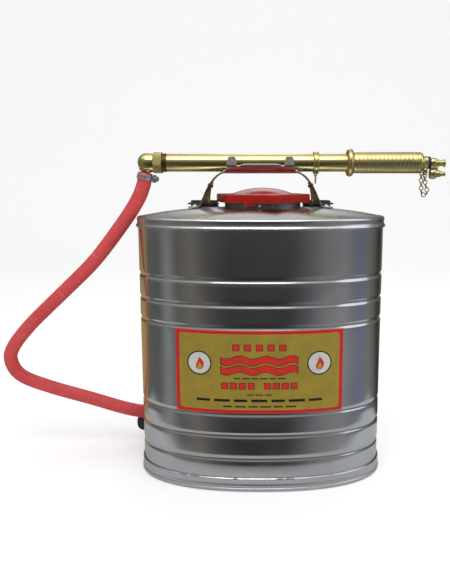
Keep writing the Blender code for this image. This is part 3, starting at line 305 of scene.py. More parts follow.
# The handle's two heights give painted pale bands: the saddle's lower lip, and the upper saddle with the ears, show
# pale grey in place of light.
HANDLE_METAL = sheet_metal("handle_strip", (0.50, 0.49, 0.465), 0.24, 0.2, (0.4672, 0.4765))
BRASS = turned_metal("brass_turned", (0.76, 0.67, 0.29), (0.56, 0.44, 0.15), 0.14)
GRIP_BRASS = turned_metal("brass_grip", (0.68, 0.58, 0.27), (0.46, 0.37, 0.15), 0.27, (40.0, 40.0, 40.0))
KNURL_BRASS = turned_metal("brass_knurled", (0.56, 0.49, 0.21), (0.40, 0.33, 0.13), 0.34, (40.0, 40.0, 40.0))
VALVE_BRASS = turned_metal("brass_inside", (0.78, 0.60, 0.30), (0.48, 0.32, 0.12), 0.25)
CHAIN_BRASS = cast_metal("brass_chain", (0.66, 0.50, 0.22), (0.28, 0.19, 0.07), 0.28)
OLD_BRASS = cast_metal("brass_darkened", (0.34, 0.21, 0.085), (0.12, 0.075, 0.035), 0.38)
ZINC = turned_metal("zinc_plated", (0.84, 0.87, 0.90), (0.62, 0.64, 0.66), 0.26, (60.0, 60.0, 60.0))
DARK_STEEL = turned_metal("dark_steel", (0.10, 0.095, 0.09), (0.05, 0.05, 0.05), 0.32, (60.0, 60.0, 60.0))
STEEL_BALL = turned_metal("steel_ball", (0.80, 0.80, 0.81), (0.66, 0.66, 0.67), 0.08, (5.0, 5.0, 5.0))
RED_ENAMEL = enamel("red_enamel", (0.38, 0.008, 0.002), (0.28, 0.005, 0.0015))
HOSE_RED = hose_rubber()
BLACK_RUBBER = rubber("black_rubber", (0.014, 0.014, 0.015))
WEBBING_BLACK = webbing()
THREAD = rubber("strap_thread", (0.050, 0.048, 0.046))
LEATHER = leather()
INK_RED = print_ink("ink_red", (0.60, 0.012, 0.004))
INK_DARK_RED = print_ink("ink_dark_red", (0.20, 0.006, 0.004))
INK_OLIVE = print_ink("ink_olive", (0.31, 0.225, 0.014), 0.42)
INK_LIME = print_ink("ink_lime", (0.34, 0.34, 0.03))
INK_BLACK = print_ink("ink_black", (0.012, 0.011, 0.010))
INK_CREAM = print_ink("ink_cream", (0.58, 0.57, 0.53))


# ---- mesh helpers -------------------------------------------------------------------------------
def new_piece(name, mesh, material, body, *replaced, sharp=32.0):
    """Adds a mesh as a piece that rides on a body and stands for the CAD nodes named."""
    mesh.materials.append(material)
    mesh.shade_smooth()
    mesh.set_sharp_from_angle(angle=math.radians(sharp))
    made = bpy.data.objects.new(name, mesh)
    bpy.context.scene.collection.objects.link(made)
    if replaced:
        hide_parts(*replaced)
    if body:
        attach(made, body)
    return made


def mesh_of(name, vertices, faces, uvs=None):
    """A mesh with its normals facing out; uvs is one pair per vertex."""
    mesh = bpy.data.meshes.new(name)
    mesh.from_pydata([tuple(v) for v in vertices], [], faces)
    if uvs is not None:
        layer = mesh.uv_layers.new(name="strap")
        for loop in mesh.loops:
            layer.data[loop.index].uv = uvs[loop.vertex_index]
    work = bmesh.new()
    work.from_mesh(mesh)
    bmesh.ops.recalc_face_normals(work, faces=work.faces)
    work.to_mesh(mesh)
    work.free()
    return mesh


def loft_mesh(name, rings, closed, uvs=None):
    """Joins rings of equal length: end to end when closed, otherwise with flat caps. A one-point ring is a pole."""
    vertices, starts, faces = [], [], []
    for ring in rings:
        starts.append(len(vertices))
        vertices.extend(ring)
    pairs = list(zip(range(len(rings)), range(1, len(rings))))
    if closed:
        pairs.append((len(rings) - 1, 0))
    for a, b in pairs:
        count = max(len(rings[a]), len(rings[b]))
        for i in range(count):
            j = (i + 1) % count
            corners = [starts[a] + i, starts[a] + j, starts[b] + j, starts[b] + i]
            if len(rings[a]) == 1:
                corners = [starts[a], starts[b] + j, starts[b] + i]
            if len(rings[b]) == 1:
                corners = [starts[a] + i, starts[a] + j, starts[b]]
            faces.append(corners)
    if not closed:
        for index in (0, len(rings) - 1):
            if len(rings[index]) > 2:
                faces.append([starts[index] + i for i in range(len(rings[index]))])
    return mesh_of(name, vertices, faces, uvs)


def rounded(profile, radius, loop=True, steps=3):
    """The profile with each corner replaced by a small curve; points on the axis stay."""
    count, made = len(profile), []
    for i, corner in enumerate(profile):
        corner = Vector(corner)
        ends = not loop and i in (0, count - 1)
        if ends or corner.y < 1e-9:
            made.append(tuple(corner))
            continue
        before, after = Vector(profile[i - 1]) - corner, Vector(profile[(i + 1) % count]) - corner
        reach = min(radius, before.length * 0.45, after.length * 0.45)
        first, last = corner + before.normalized() * reach, corner + after.normalized() * reach
        for step in range(steps + 1):
            share = step / steps
            point = first.lerp(corner, share).lerp(corner.lerp(last, share), share)
            made.append(tuple(point))
    return made


def turned_mesh(name, profile, origin, axis, steps=FINE, radius=0.0004, shape=None):
    """A profile of (along, out) turned about an axis. shape(along, turn) adds to the radius."""
    solid = profile[0][1] < 1e-9 and profile[-1][1] < 1e-9
    points = rounded(profile, radius, loop=not solid)
    axis = Vector(axis).normalized()
    side = axis.orthogonal().normalized()
    if abs(axis.x) > 0.9:
        side = Vector((0, 0, 1)) - axis * axis.z
        side.normalize()
    up = axis.cross(side)
    rings = []
    for along, out in points:
        middle = Vector(origin) + axis * along
        if out < 1e-9:
            rings.append([middle])
            continue
        ring = []
        for i in range(steps):
            turn = 2 * math.pi * i / steps
            reach = out + (shape(along, turn) if shape else 0.0)
            ring.append(middle + (side * math.cos(turn) + up * math.sin(turn)) * reach)
        rings.append(ring)
    return loft_mesh(name, rings, closed=not solid)


def turned(name, profile, material, body, origin, axis, *replaced, **options):
    return new_piece(name, turned_mesh(name, profile, origin, axis, **options), material, body, *replaced)


def on_pump(offset=0.0):
    """Origin and axis of a piece turned about the pump's axis, or about a line below it."""
    return Vector((0.0, PUMP_Y, PUMP_Z - offset)), Vector((1.0, 0.0, 0.0))


def curve_points(controls, steps):
    """Catmull-Rom points through the controls."""
    points = [Vector(p) for p in controls]
    padded = [points[0] * 2 - points[1], *points, points[-1] * 2 - points[-2]]
    made = []
    for i in range(len(points) - 1):
        a, b, c, d = padded[i:i + 4]
        for step in range(steps):
            t = step / steps
            made.append(0.5 * ((2 * b) + (c - a) * t + (2 * a - 5 * b + 4 * c - d) * t * t
                               + (3 * b - a - 3 * c + d) * t ** 3))
    made.append(points[-1])
    return made


def frames_along(points, cyclic=False):
    """A sideways and an upward direction at each point, carried along without twist."""
    count = len(points)
    tangents = []
    for i in range(count):
        before = points[i - 1] if cyclic or i else points[0]
        after = points[(i + 1) % count] if cyclic or i < count - 1 else points[-1]
        tangents.append((after - before).normalized())
    side = tangents[0].orthogonal().normalized()
    made = []
    for tangent in tangents:
        side = (side - tangent * side.dot(tangent)).normalized()
        made.append((side, tangent.cross(side)))
    return made


def tube_rings(points, radius, around, cyclic=False):
    rings = []
    for point, (side, up) in zip(points, frames_along(points, cyclic)):
        rings.append([point + (side * math.cos(2 * math.pi * i / around)
                               + up * math.sin(2 * math.pi * i / around)) * radius for i in range(around)])
    return rings


def wire(name, points, radius, material, body, *replaced, around=16, cyclic=False):
    """A round wire; an open one has rounded ends."""
    rings = tube_rings(points, radius, around, cyclic)
    if not cyclic:
        for end, inner in ((0, 1), (-1, -2)):
            tip = points[end] + (points[end] - points[inner]).normalized() * radius * 0.7
            neck = [point.lerp(tip, 0.35) for point in rings[end]]
            rings = [[tip], neck, *rings] if end == 0 else [*rings, neck, [tip]]
    return new_piece(name, loft_mesh(name, rings, closed=cyclic), material, body, *replaced)


def circle_points(centre, axis, radius, count):
    side = Vector(axis).orthogonal().normalized()
    up = Vector(axis).normalized().cross(side)
    return [Vector(centre) + (side * math.cos(2 * math.pi * i / count)
                              + up * math.sin(2 * math.pi * i / count)) * radius for i in range(count)]


def union(first, *others):
    """Joins meshes into one closed body by Boolean unions, applied."""
    for other in others:
        modifier = first.modifiers.new("union", "BOOLEAN")
        modifier.operation = "UNION"
        modifier.solver = "EXACT"
        modifier.object = other
        bpy.context.view_layer.update()
        evaluated = first.evaluated_get(bpy.context.evaluated_depsgraph_get())
        mesh = bpy.data.meshes.new_from_object(evaluated)
        first.modifiers.clear()
        old = first.data
        first.data = mesh
        bpy.data.meshes.remove(old)
        bpy.data.objects.remove(other)
        mesh.shade_smooth()
        mesh.set_sharp_from_angle(angle=math.radians(32.0))
    return first


def loose(name, mesh, material):
    """A helper for a union: it rides on nothing and is gone once joined."""
    return new_piece(name, mesh, material, None)


def block_mesh(name, centre, axes, half, rounding):
    """A box with rounded edges along three given directions."""
    work = bmesh.new()
    bmesh.ops.create_cube(work, size=2.0)
    matrix = Matrix([[axes[column][row] * half[column] for column in range(3)] for row in range(3)]).to_4x4()
    bmesh.ops.transform(work, matrix=Matrix.Translation(centre) @ matrix, verts=work.verts)
    bmesh.ops.bevel(work, geom=work.edges[:], offset=rounding, segments=3, profile=0.5, affect="EDGES")
    bmesh.ops.recalc_face_normals(work, faces=work.faces)
    mesh = bpy.data.meshes.new(name)
    work.to_mesh(mesh)
    work.free()
    return mesh


# ---- the tank's plan ----------------------------------------------------------------------------
def plan_point(turn):
    """A superellipse with a hollow on the wearer's side."""
    c, s = math.cos(turn), math.sin(turn)
    power = 2.0 / SQUARENESS
    x = TANK_HALF_WIDTH * math.copysign(abs(c) ** power, c)
    y = (BACK_DEPTH if s > 0 else FRONT_DEPTH) * math.copysign(abs(s) ** power, s)
    if s > 0:
        y -= BACK_HOLLOW * s * math.exp(-((x / HOLLOW_WIDTH) ** 2))
    return x, y


def dense_plan(count=5760):
    points = np.array([plan_point(2 * math.pi * (i + 0.5) / count) for i in range(count)])
    along = np.roll(points, -6, axis=0) - np.roll(points, 6, axis=0)
    normals = np.stack([along[:, 1], -along[:, 0]], axis=1)
    return points, normals / np.linalg.norm(normals, axis=1)[:, None]


PLAN, PLAN_NORMALS = dense_plan()
STEPS = np.linalg.norm(np.diff(PLAN, axis=0, append=PLAN[:1]), axis=1)
TRAVELLED = np.concatenate([[0.0], np.cumsum(STEPS)[:-1]])
PERIMETER = STEPS.sum()
EVEN = [int(np.abs(TRAVELLED - PERIMETER * i / OUTLINE).argmin()) for i in range(OUTLINE)]


def plan_ring(offset, height):
    """The tank's outline moved outwards; offset and height may be one number or one for each point."""
    offsets, heights = np.broadcast_to(offset, OUTLINE), np.broadcast_to(height, OUTLINE)
    return [(*(PLAN[i] + PLAN_NORMALS[i] * out), up) for i, out, up in zip(EVEN, offsets, heights)]


def wall_place(x, back=False):
    side = PLAN[:, 1] > 0 if back else PLAN[:, 1] < 0
    index = int(np.where(side, np.abs(PLAN[:, 0] - x), 9.0).argmin())
    return Vector((*PLAN[index], 0.0)), Vector((*PLAN_NORMALS[index], 0.0))


# ---- tank ---------------------------------------------------------------------------------------
def groove(height):
    """Depth of the swaged grooves at this height: a rounded channel with soft shoulders."""
    depth = 0.0
    for middle in GROOVE_HEIGHTS:
        share = abs(height - middle) / GROOVE_REACH
        if share < 1.0:
            depth -= GROOVE_DEPTH * (0.5 + 0.5 * math.cos(math.pi * share)) ** 0.8
    return depth


def tank_heights():
    low, high = SHELL_LOW.z, SHELL_HIGH.z
    heights = list(np.linspace(low, high, 40))
    for middle in GROOVE_HEIGHTS:
        heights += list(middle + np.linspace(-GROOVE_REACH, GROOVE_REACH, 15))
    return sorted(heights)


def tank_shell():
    heights = tank_heights()
    outer = [plan_ring(groove(height), height) for height in heights]
    inner = [plan_ring(groove(height) - SHEET, height) for height in reversed(heights)]
    new_piece("tank_wall", loft_mesh("tank_wall", outer + inner, True), TANK_METAL, "tank", "tank_shell")


def side_seam():
    """The flattened lock seam where the wall's sheet closes, down the wearer's side."""
    half, proud, x = 0.0042, 0.0007, 0.030
    rings = []
    for height in tank_heights()[1:-1]:
        point, normal = wall_place(x, back=True)
        tangent = Vector((-normal.y, normal.x, 0.0))
        base = point + normal * (groove(height) * 0.85 - 0.0002) + Vector((0, 0, height))
        section = rounded([(-half, 0.0001), (-half, proud), (half, proud), (half, 0.0001)], 0.0004, steps=2)
        rings.append([base + tangent * a + normal * b for a, b in section])
    new_piece("side_seam", loft_mesh("side_seam", rings, False), TANK_METAL, "tank")


def seam_waves(amplitude, seed):
    """Small uneven waves round the tank, as a hand-run seaming roller leaves."""
    turns = np.arange(OUTLINE) / OUTLINE * 2 * math.pi
    random = np.random.default_rng(seed)
    waves = np.zeros(OUTLINE)
    for count in (7, 13, 22, 37, 58):
        waves += random.uniform(0.3, 1.0) * np.sin(count * turns + random.uniform(0, 6.28))
    return waves / np.abs(waves).max() * amplitude


def tank_bottom():
    """The pressed pan: a foot bead, a bright seam line, a flat band and a rounded upper step."""
    wave = seam_waves(0.00012, 3)
    section = [
        (-0.0065, 0.0), (-0.0035, 0.0), (0.0006, 0.0), (0.0020, 0.0004),
        (0.0030, 0.0016), (0.0034, 0.0034), (0.0032, 0.0052), (0.0024, 0.0062), (0.0022, 0.0068), (0.0028, 0.0080),
        (0.0027, 0.0096), (0.0022, 0.0108), (0.0021, 0.0150), (0.0024, 0.0185), (0.0023, 0.0198), (0.0016, 0.0207),
        (0.0008, 0.0208), (GAP, 0.0200), (GAP, 0.0078),
        (-0.0016, 0.0072), (-0.0024, 0.0020),
    ]
    rings = []
    for offset, height in section:
        ripple = wave if 0.015 < height < 0.0205 else 0.0
        rings.append(plan_ring(offset, np.maximum(height + ripple, 0.0)))
    new_piece("base_pan", loft_mesh("base_pan", rings, False), RIM_METAL, "tank", "tank_bottom")


COVER_EDGE = 0.4005
COVER_RISE = 0.0135
HOLE_RADIUS = NECK_HIGH.x - NECK_X - 0.0023


def cover_ring(share, drop, edge_offset, radius=HOLE_RADIUS):
    """A ring of the domed cover: the plan at share 0, the neck's circle at share 1."""
    height = COVER_EDGE + COVER_RISE * (1.0 - (1.0 - share) ** 2) - drop
    made = []
    for x, y, _ in plan_ring(edge_offset, 0.0):
        turn = math.atan2(y - PUMP_Y, x - NECK_X)
        round_x, round_y = NECK_X + radius * math.cos(turn), PUMP_Y + radius * math.sin(turn)
        made.append((x + (round_x - x) * share, y + (round_y - y) * share, height))
    return made


def top_cover():
    """The cover: a crimped lip, a flat band with a bead, a rounded shoulder and a shallow dome."""
    lip, dent = seam_waves(0.00045, 5), seam_waves(0.00025, 8)
    low = 0.3852
    band = [
        (0.0022, low), (0.0030, low + 0.0007), (0.0033, low + 0.0018), (0.0029, low + 0.0032),
        (0.0019, low + 0.0045), (0.0013, low + 0.0060), (0.0012, low + 0.0085), (0.0013, low + 0.0105),
        (0.0018, low + 0.0118), (0.0017, low + 0.0132), (0.0008, low + 0.0146), (-0.0004, low + 0.0156),
    ]
    rings = []
    for offset, height in band:
        ripple = lip if height < low + 0.0025 else dent * 0.6
        rings.append(plan_ring(offset + ripple * 0.35, height + np.maximum(ripple, -0.0002) * 0.5))
    shares = [0.015, 0.03, 0.05, 0.08, 0.12, 0.17, 0.23, 0.30, 0.38, 0.47, 0.56, 0.66, 0.76, 0.86, 0.94, 1.0]
    rings += [cover_ring(share, 0.0, -0.0012) for share in shares]
    rings += [cover_ring(share, 0.0010, -0.0022) for share in reversed(shares)]
    rings += [plan_ring(GAP, 0.3970), plan_ring(GAP, low)]
    new_piece("cover", loft_mesh("cover", rings, True), COVER_METAL, "tank", "top_cover", sharp=50.0)


def filler_neck():
    """The neck with its rolled lip and a soldered bead at its foot."""
    radius, top = NECK_HIGH.x - NECK_X - 0.0034, NECK_HIGH.z
    low = NECK_LOW.z
    profile = [
        (top, radius - 0.0006), (top - 0.0006, radius), (top - 0.0030, radius), (top - 0.0036, radius - 0.0005),
        (top - 0.0046, radius), (low + 0.0060, radius), (low + 0.0040, radius + 0.0004), (low + 0.0018, radius),
        (low + 0.0016, NECK_HIGH.x - NECK_X), (low + 0.0004, NECK_HIGH.x - NECK_X), (low, radius - 0.0012),
        (top - 0.0004, radius - 0.0012),
    ]
    origin = (NECK_X, PUMP_Y, 0.0)
    turned("neck", profile, NECK_METAL, "tank", origin, (0, 0, 1), "filler_neck", steps=144, radius=0.0003)
    for node in ("neck_pin_front", "neck_pin_rear"):
        low_corner, high_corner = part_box(node)
        side = -1.0 if low_corner.y < PUMP_Y else 1.0
        middle = (low_corner + high_corner) / 2
        start = Vector((middle.x, low_corner.y if side > 0 else high_corner.y, middle.z))
        pin = [(0.0, 0.0), (0.0, 0.0024), (0.0030, 0.0024), (0.0038, 0.0015), (0.0040, 0.0)]
        turned(node + "_head", pin, ZINC, "tank", start, (0, side, 0), node, steps=32)


# ---- label --------------------------------------------------------------------------------------
LABEL_HALF = LABEL_HIGH.x
LABEL_MIDDLE = (LABEL_LOW.z + LABEL_HIGH.z) / 2 - 0.0008
LABEL_SHIFT = -0.0018          # the plate isn't quite centred on the tank
LABEL_TALL = (LABEL_HIGH.z - LABEL_LOW.z) / 2
INK = 0.00009                  # thickness of one printed layer
WALL_X = np.linspace(-0.13, 0.13, 521)
WALL_SPOTS = [wall_place(x) for x in WALL_X]


def on_wall(x, z, out):
    """A place on the tank's front, out metres from the wall; x is the distance across the tank."""
    spot = (x - WALL_X[0]) / (WALL_X[1] - WALL_X[0])
    index = min(max(int(spot), 0), len(WALL_X) - 2)
    share = spot - index
    point = WALL_SPOTS[index][0].lerp(WALL_SPOTS[index + 1][0], share)
    normal = WALL_SPOTS[index][1].lerp(WALL_SPOTS[index + 1][1], share)
    return point + normal * out + Vector((0, 0, z))


def flat_mesh(name, outlines):
    """Outlines in the plane, filled; an outline inside another is a hole."""
    curve = bpy.data.curves.new(name, "CURVE")
    curve.dimensions = "2D"
    curve.fill_mode = "BOTH"
    for points in outlines:
        spline = curve.splines.new("POLY")
        spline.points.add(len(points) - 1)
        for target, (x, y) in zip(spline.points, points):
            target.co = (x, y, 0.0, 1.0)
        spline.use_cyclic_u = True
    shape = bpy.data.objects.new(name, curve)
    bpy.context.scene.collection.objects.link(shape)
    bpy.context.view_layer.update()
    mesh = bpy.data.meshes.new_from_object(shape.evaluated_get(bpy.context.evaluated_depsgraph_get()))
    bpy.data.objects.remove(shape)
    bpy.data.curves.remove(curve)
    return mesh


def decal(name, outlines, out, thickness, material, *replaced):
    """A thin printed layer bent to the tank's wall. Outlines are around the label's middle, in metres."""
    mesh = flat_mesh(name, outlines)
    work = bmesh.new()
    work.from_mesh(mesh)
    bmesh.ops.remove_doubles(work, verts=work.verts, dist=1e-6)
    for x in np.arange(-0.120, 0.1201, 0.004):
        bmesh.ops.bisect_plane(work, geom=work.verts[:] + work.edges[:] + work.faces[:], dist=1e-7,
                               plane_co=(x, 0, 0), plane_no=(1, 0, 0))
    front = work.faces[:]
    made = bmesh.ops.extrude_face_region(work, geom=front)
    raised = {v for v in made["geom"] if isinstance(v, bmesh.types.BMVert)}
    for vertex in work.verts:
        x, z = vertex.co.x + LABEL_SHIFT, vertex.co.y + LABEL_MIDDLE
        vertex.co = on_wall(x, z, out + (thickness if vertex in raised else 0.0))
    bmesh.ops.recalc_face_normals(work, faces=work.faces)
    work.to_mesh(mesh)
    work.free()
    return new_piece(name, mesh, material, "tank", *replaced, sharp=30.0)


def rectangle(x, y, half_x, half_y, radius=0.0, steps=6):
    """A rectangle's outline with round corners."""
    made = []
    for index, (a, b) in enumerate(((1, 1), (-1, 1), (-1, -1), (1, -1))):
        if radius <= 0.0:
            made.append((x + a * half_x, y + b * half_y))
            continue
        for step in range(steps + 1):
            turn = math.pi / 2 * (index + step / steps)
            made.append((x + a * (half_x - radius) + radius * math.cos(turn),
                         y + b * (half_y - radius) + radius * math.sin(turn)))
    return made


def disc(x, y, radius, count=48):
    return [(x + radius * math.cos(2 * math.pi * i / count), y + radius * math.sin(2 * math.pi * i / count))
            for i in range(count)]


def flame(x, y, size):
    """A plain flame: a teardrop whose tip leans to one side."""
    made = []
    for i in range(40):
        turn = 2 * math.pi * i / 40
        rise = 0.5 - 0.5 * math.cos(turn)
        width = math.sin(turn) * (1.0 - rise) ** 0.55 * 0.92
        lean = 0.30 * math.sin(math.pi * rise) * rise
        made.append((x + size * (width + lean), y + size * (2.3 * rise - 0.95)))
    return made


def wave_band(y, half_length, half_height, swing, waves):
    """A band whose two edges follow the same wave."""
    count = 60
    made = []
    for direction in (1, -1):
        for i in range(count + 1):
            x = direction * half_length * (2 * i / count - 1)
            made.append((x, y + swing * math.sin(math.pi * waves * x / half_length) - direction * half_height))
    return made


# Rows of plain blocks (height, places across) and of dashes (height, half length, half thickness, count).
BLOCK_ROWS = [
    (0.0366, (-0.0335, -0.0168, 0.0, 0.0168, 0.0335)),
    (-0.0200, (-0.0500, -0.0372, -0.0244, -0.0116, 0.0116, 0.0244, 0.0372, 0.0500)),
]
DASH_ROWS = [(-0.0088, 0.0385, 0.0008, 6), (-0.0332, 0.0195, 0.0008, 3), (-0.0420, 0.0950, 0.0019, 7),
             (-0.0510, 0.0550, 0.0010, 6)]


def label():
    """A plate with a red border and an olive field that carries plain shapes in place of any wording."""
    flat = 0.0004
    decal("label_base", [rectangle(0, 0, LABEL_HALF - 0.0003, LABEL_TALL, 0.0008)], GAP, flat, INK_RED, "label_plate")
    level = GAP + flat
    inner_x, inner_y = LABEL_HALF - 0.0068, LABEL_TALL - 0.0062
    line = [rectangle(0, 0, LABEL_HALF - 0.0030, LABEL_TALL - 0.0028, 0.0026),
            rectangle(0, 0, LABEL_HALF - 0.0036, LABEL_TALL - 0.0034, 0.0022)]
    decal("label_pinstripe", line, level, INK, INK_DARK_RED)
    decal("label_keyline", [rectangle(0, 0, inner_x + 0.0006, inner_y + 0.0006, 0.0046),
                            rectangle(0, 0, inner_x, inner_y, 0.0040)], level, INK, INK_LIME)
    decal("label_field", [rectangle(0, 0, inner_x - 0.00005, inner_y - 0.00005, 0.0040)], level, INK, INK_OLIVE)
    level += INK
    for side, word in ((-1, "left"), (1, "right")):
        x, y = side * 0.0865, 0.0127
        ring = [disc(x, y, 0.0178), disc(x, y, 0.0160)]
        decal(f"emblem_ring_{word}", ring, level, INK, INK_BLACK)
        decal(f"emblem_disc_{word}", [disc(x, y, 0.01595)], level, INK, INK_CREAM)
        outer = flame(x, y - 0.0020, 0.0082)
        core = flame(x, y - 0.0050, 0.0042)
        decal(f"emblem_flame_{word}", [outer], level + INK, INK, INK_RED)
        decal(f"emblem_core_{word}", [core], level + 2 * INK, INK, INK_LIME)
    for index, (y, half, swing) in enumerate(((0.0174, 0.0048, 0.0024), (0.0036, 0.0048, 0.0024))):
        decal(f"label_wave_edge_{index}", [wave_band(y, 0.0560, half + 0.0009, swing, 3)], level, INK, INK_BLACK)
        decal(f"label_wave_{index}", [wave_band(y, 0.0550, half, swing, 3)], level + INK, INK, INK_RED)
    for row, (y, places) in enumerate(BLOCK_ROWS):
        outer = [rectangle(x, y, 0.0051, 0.0049, 0.0008) for x in places]
        inner = [rectangle(x, y, 0.0043, 0.0041, 0.0006) for x in places]
        decal(f"label_blocks_edge_{row}", outer, level, INK, INK_BLACK)
        decal(f"label_blocks_{row}", inner, level + INK, INK, INK_RED)
    for index, (y, half, thick, count) in enumerate(DASH_ROWS):
        step = 2 * half / count
        middles = [(i - (count - 1) / 2) * step for i in range(count)]
        dashes = [rectangle(x, y, step * (0.36 + 0.07 * (i % 2)), thick, thick * 0.6) for i, x in enumerate(middles)]
        decal(f"label_line_{index}", dashes, level, INK, INK_BLACK)


# ---- filler cap ---------------------------------------------------------------------------------
CAP_TURNED = math.radians(-15.0)
CAP_APOTHEM = 0.0648
DOME_RADIUS = 0.0475


def hexagon_reach(turn, sharpness=28.0):
    """Distance from the middle to a rounded hexagon's side, for a hexagon of apothem 1."""
    total = 0.0
    for face in range(3):
        total += abs(math.cos(turn - CAP_TURNED - math.radians(30.0 + 60.0 * face))) ** sharpness
    return total ** (-1.0 / sharpness)


def cap_ring(height, circle, hexagon, count=216):
    """A ring between a circle and the cap's hexagon: circle and hexagon are its two radii, one of them 0."""
    made = []
    for i in range(count):
        turn = 2 * math.pi * i / count
        reach = circle + hexagon * hexagon_reach(turn)
        made.append((NECK_X + reach * math.cos(turn), PUMP_Y + reach * math.sin(turn), height))
    return made


def filler_cap():
    """The hexagonal cap: softly rounded rim, a groove at the dome's foot and a shallow lens-shaped dome."""
    low, rim = 0.4218, 0.4343
    top = CAP_HIGH.z
    rings = [[(NECK_X, PUMP_Y, 0.4306)], cap_ring(0.4306, 0.030, 0.0), cap_ring(0.4306, 0.0582, 0.0),
             cap_ring(low + 0.0004, 0.0582, 0.0), cap_ring(low, 0.0590, 0.0), cap_ring(low, 0.0, CAP_APOTHEM - 0.0016)]
    for step in range(1, 5):
        turn = math.pi / 2 * step / 4
        rings.append(cap_ring(low + 0.0016 * (1 - math.cos(turn)), 0.0, CAP_APOTHEM - 0.0016 * (1 - math.sin(turn))))
    for step in range(0, 6):
        turn = math.pi / 2 * step / 5
        rings.append(cap_ring(rim - 0.0022 * (1 - math.sin(turn)), 0.0, CAP_APOTHEM - 0.0022 * (1 - math.cos(turn))))
    for share in (0.35, 0.7, 0.9):
        flat = CAP_APOTHEM - 0.0022
        rings.append(cap_ring(rim, DOME_RADIUS * share + 0.0010, flat * (1 - share)))
    rings.append(cap_ring(rim - 0.0003, DOME_RADIUS, 0.0))
    for step in range(1, 16):
        share = 1.0 - step / 16
        rise = (top - rim) * (1 - share ** 2) * (1 - 0.25 * share ** 8)
        rings.append(cap_ring(rim + rise, DOME_RADIUS * share, 0.0))
    rings.append([(NECK_X, PUMP_Y, top)])
    cap = new_piece("cap_body", loft_mesh("cap_body", rings, False), RED_ENAMEL, None, sharp=55.0)
    for side in (-1, 1):
        middle = Vector((NECK_X + side * 0.0172, PUMP_Y + side * 0.0602, 0.4212))
        axes = (Vector((1, 0, 0)), Vector((0, 1, 0)), Vector((0, 0, 1)))
        lug = block_mesh("lug", middle, axes, (0.0097, 0.0016, 0.0026), 0.0007)
        union(cap, loose("lug", lug, RED_ENAMEL))
    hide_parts("filler_cap")
    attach(cap, "cap")


# ---- carrying handle ----------------------------------------------------------------------------
EAR_TOP = 0.0088
QUARTER = SADDLE_RADIUS * math.pi / 2
SADDLE_LOW = PUMP_Z - SADDLE_RADIUS
EAR_MIDDLE = 0.0430
EAR_HALF = 0.0077
HANDLE_SHEET = 0.0018
# x, z and the half width of the strip, and how far it hugs the barrel, from the foot to the middle
HANDLE_LINE = [
    (0.1090, 0.41390, 0.0110, 0.0), (0.1060, 0.41410, 0.0150, 0.0), (0.0960, 0.41470, 0.0160, 0.0),
    (0.0925, 0.41620, 0.0160, 0.0), (0.0900, 0.41980, 0.0155, 0.0), (0.0860, 0.42880, 0.0150, 0.0),
    (0.0810, 0.44000, 0.0150, 0.0), (0.0755, 0.44950, 0.0150, 0.0), (0.0685, 0.45820, 0.0150, 0.05),
    (0.0610, 0.46370, 0.0150, 0.08), (0.0550, 0.46570, 0.0146, 0.30), (0.0512, SADDLE_LOW, 0.0130, 1.0),
]


def handle_rows():
    """Stations along half the handle: middle, direction, half width and how far it hugs the barrel."""
    stations = []
    controls = [Vector(row[:3]) for row in HANDLE_LINE]
    bends = [row[3] for row in HANDLE_LINE]
    steps = 6
    fine = curve_points(controls, steps)
    for i, (x, z, half) in enumerate(fine):
        spot = i / steps
        index = min(int(spot), len(bends) - 2)
        bend = bends[index] + (bends[index + 1] - bends[index]) * (spot - index)
        stations.append((x, z, half, bend))
    shelf = QUARTER - 0.0020
    ear_edges = EAR_MIDDLE + EAR_HALF * np.cos(np.linspace(0, math.pi, 25))
    for x in ear_edges:
        share = min(1.0, abs(x - EAR_MIDDLE) / EAR_HALF)
        side = (1.0 - share ** 4) ** (1.0 / 2.6)
        base = 0.0130 if x > EAR_MIDDLE else QUARTER - 0.0045
        stations.append((float(x), SADDLE_LOW, base + (QUARTER + EAR_TOP - base) * side, 1.0))
    for x in np.linspace(0.0348, 0.0, 16):
        rise = min(1.0, max(0.0, (0.0318 - x) / 0.0070))
        stations.append((float(x), SADDLE_LOW, QUARTER - 0.0045 + (shelf - QUARTER + 0.0045) * rise, 1.0))
    return stations


def handle_place(station, along, reach):
    """A point of the strip's middle surface and the surface's normal there."""
    x, z, _, bend = station
    up = Vector((-along.z, 0.0, along.x))
    if up.z < 0:
        up = -up
    radius = SADDLE_RADIUS / max(bend, 0.02)
    arc = min(abs(reach), radius * math.pi / 2)
    turn = arc / radius
    straight = abs(reach) - arc
    curl = max(0.0, straight - EAR_TOP * 0.62)
    side = math.copysign(1.0, reach)
    lean = curl / 0.0042
    across = radius * math.sin(turn) + 0.0042 * (1 - math.cos(lean))
    rise = radius * (1 - math.cos(turn)) + (straight - curl) + 0.0042 * math.sin(lean)
    point = Vector((x, PUMP_Y, z)) + Vector((0, side * across, 0)) + up * rise
    tilt = turn - lean
    normal = up * math.cos(tilt) - Vector((0, side, 0)) * math.sin(tilt)
    return point, normal


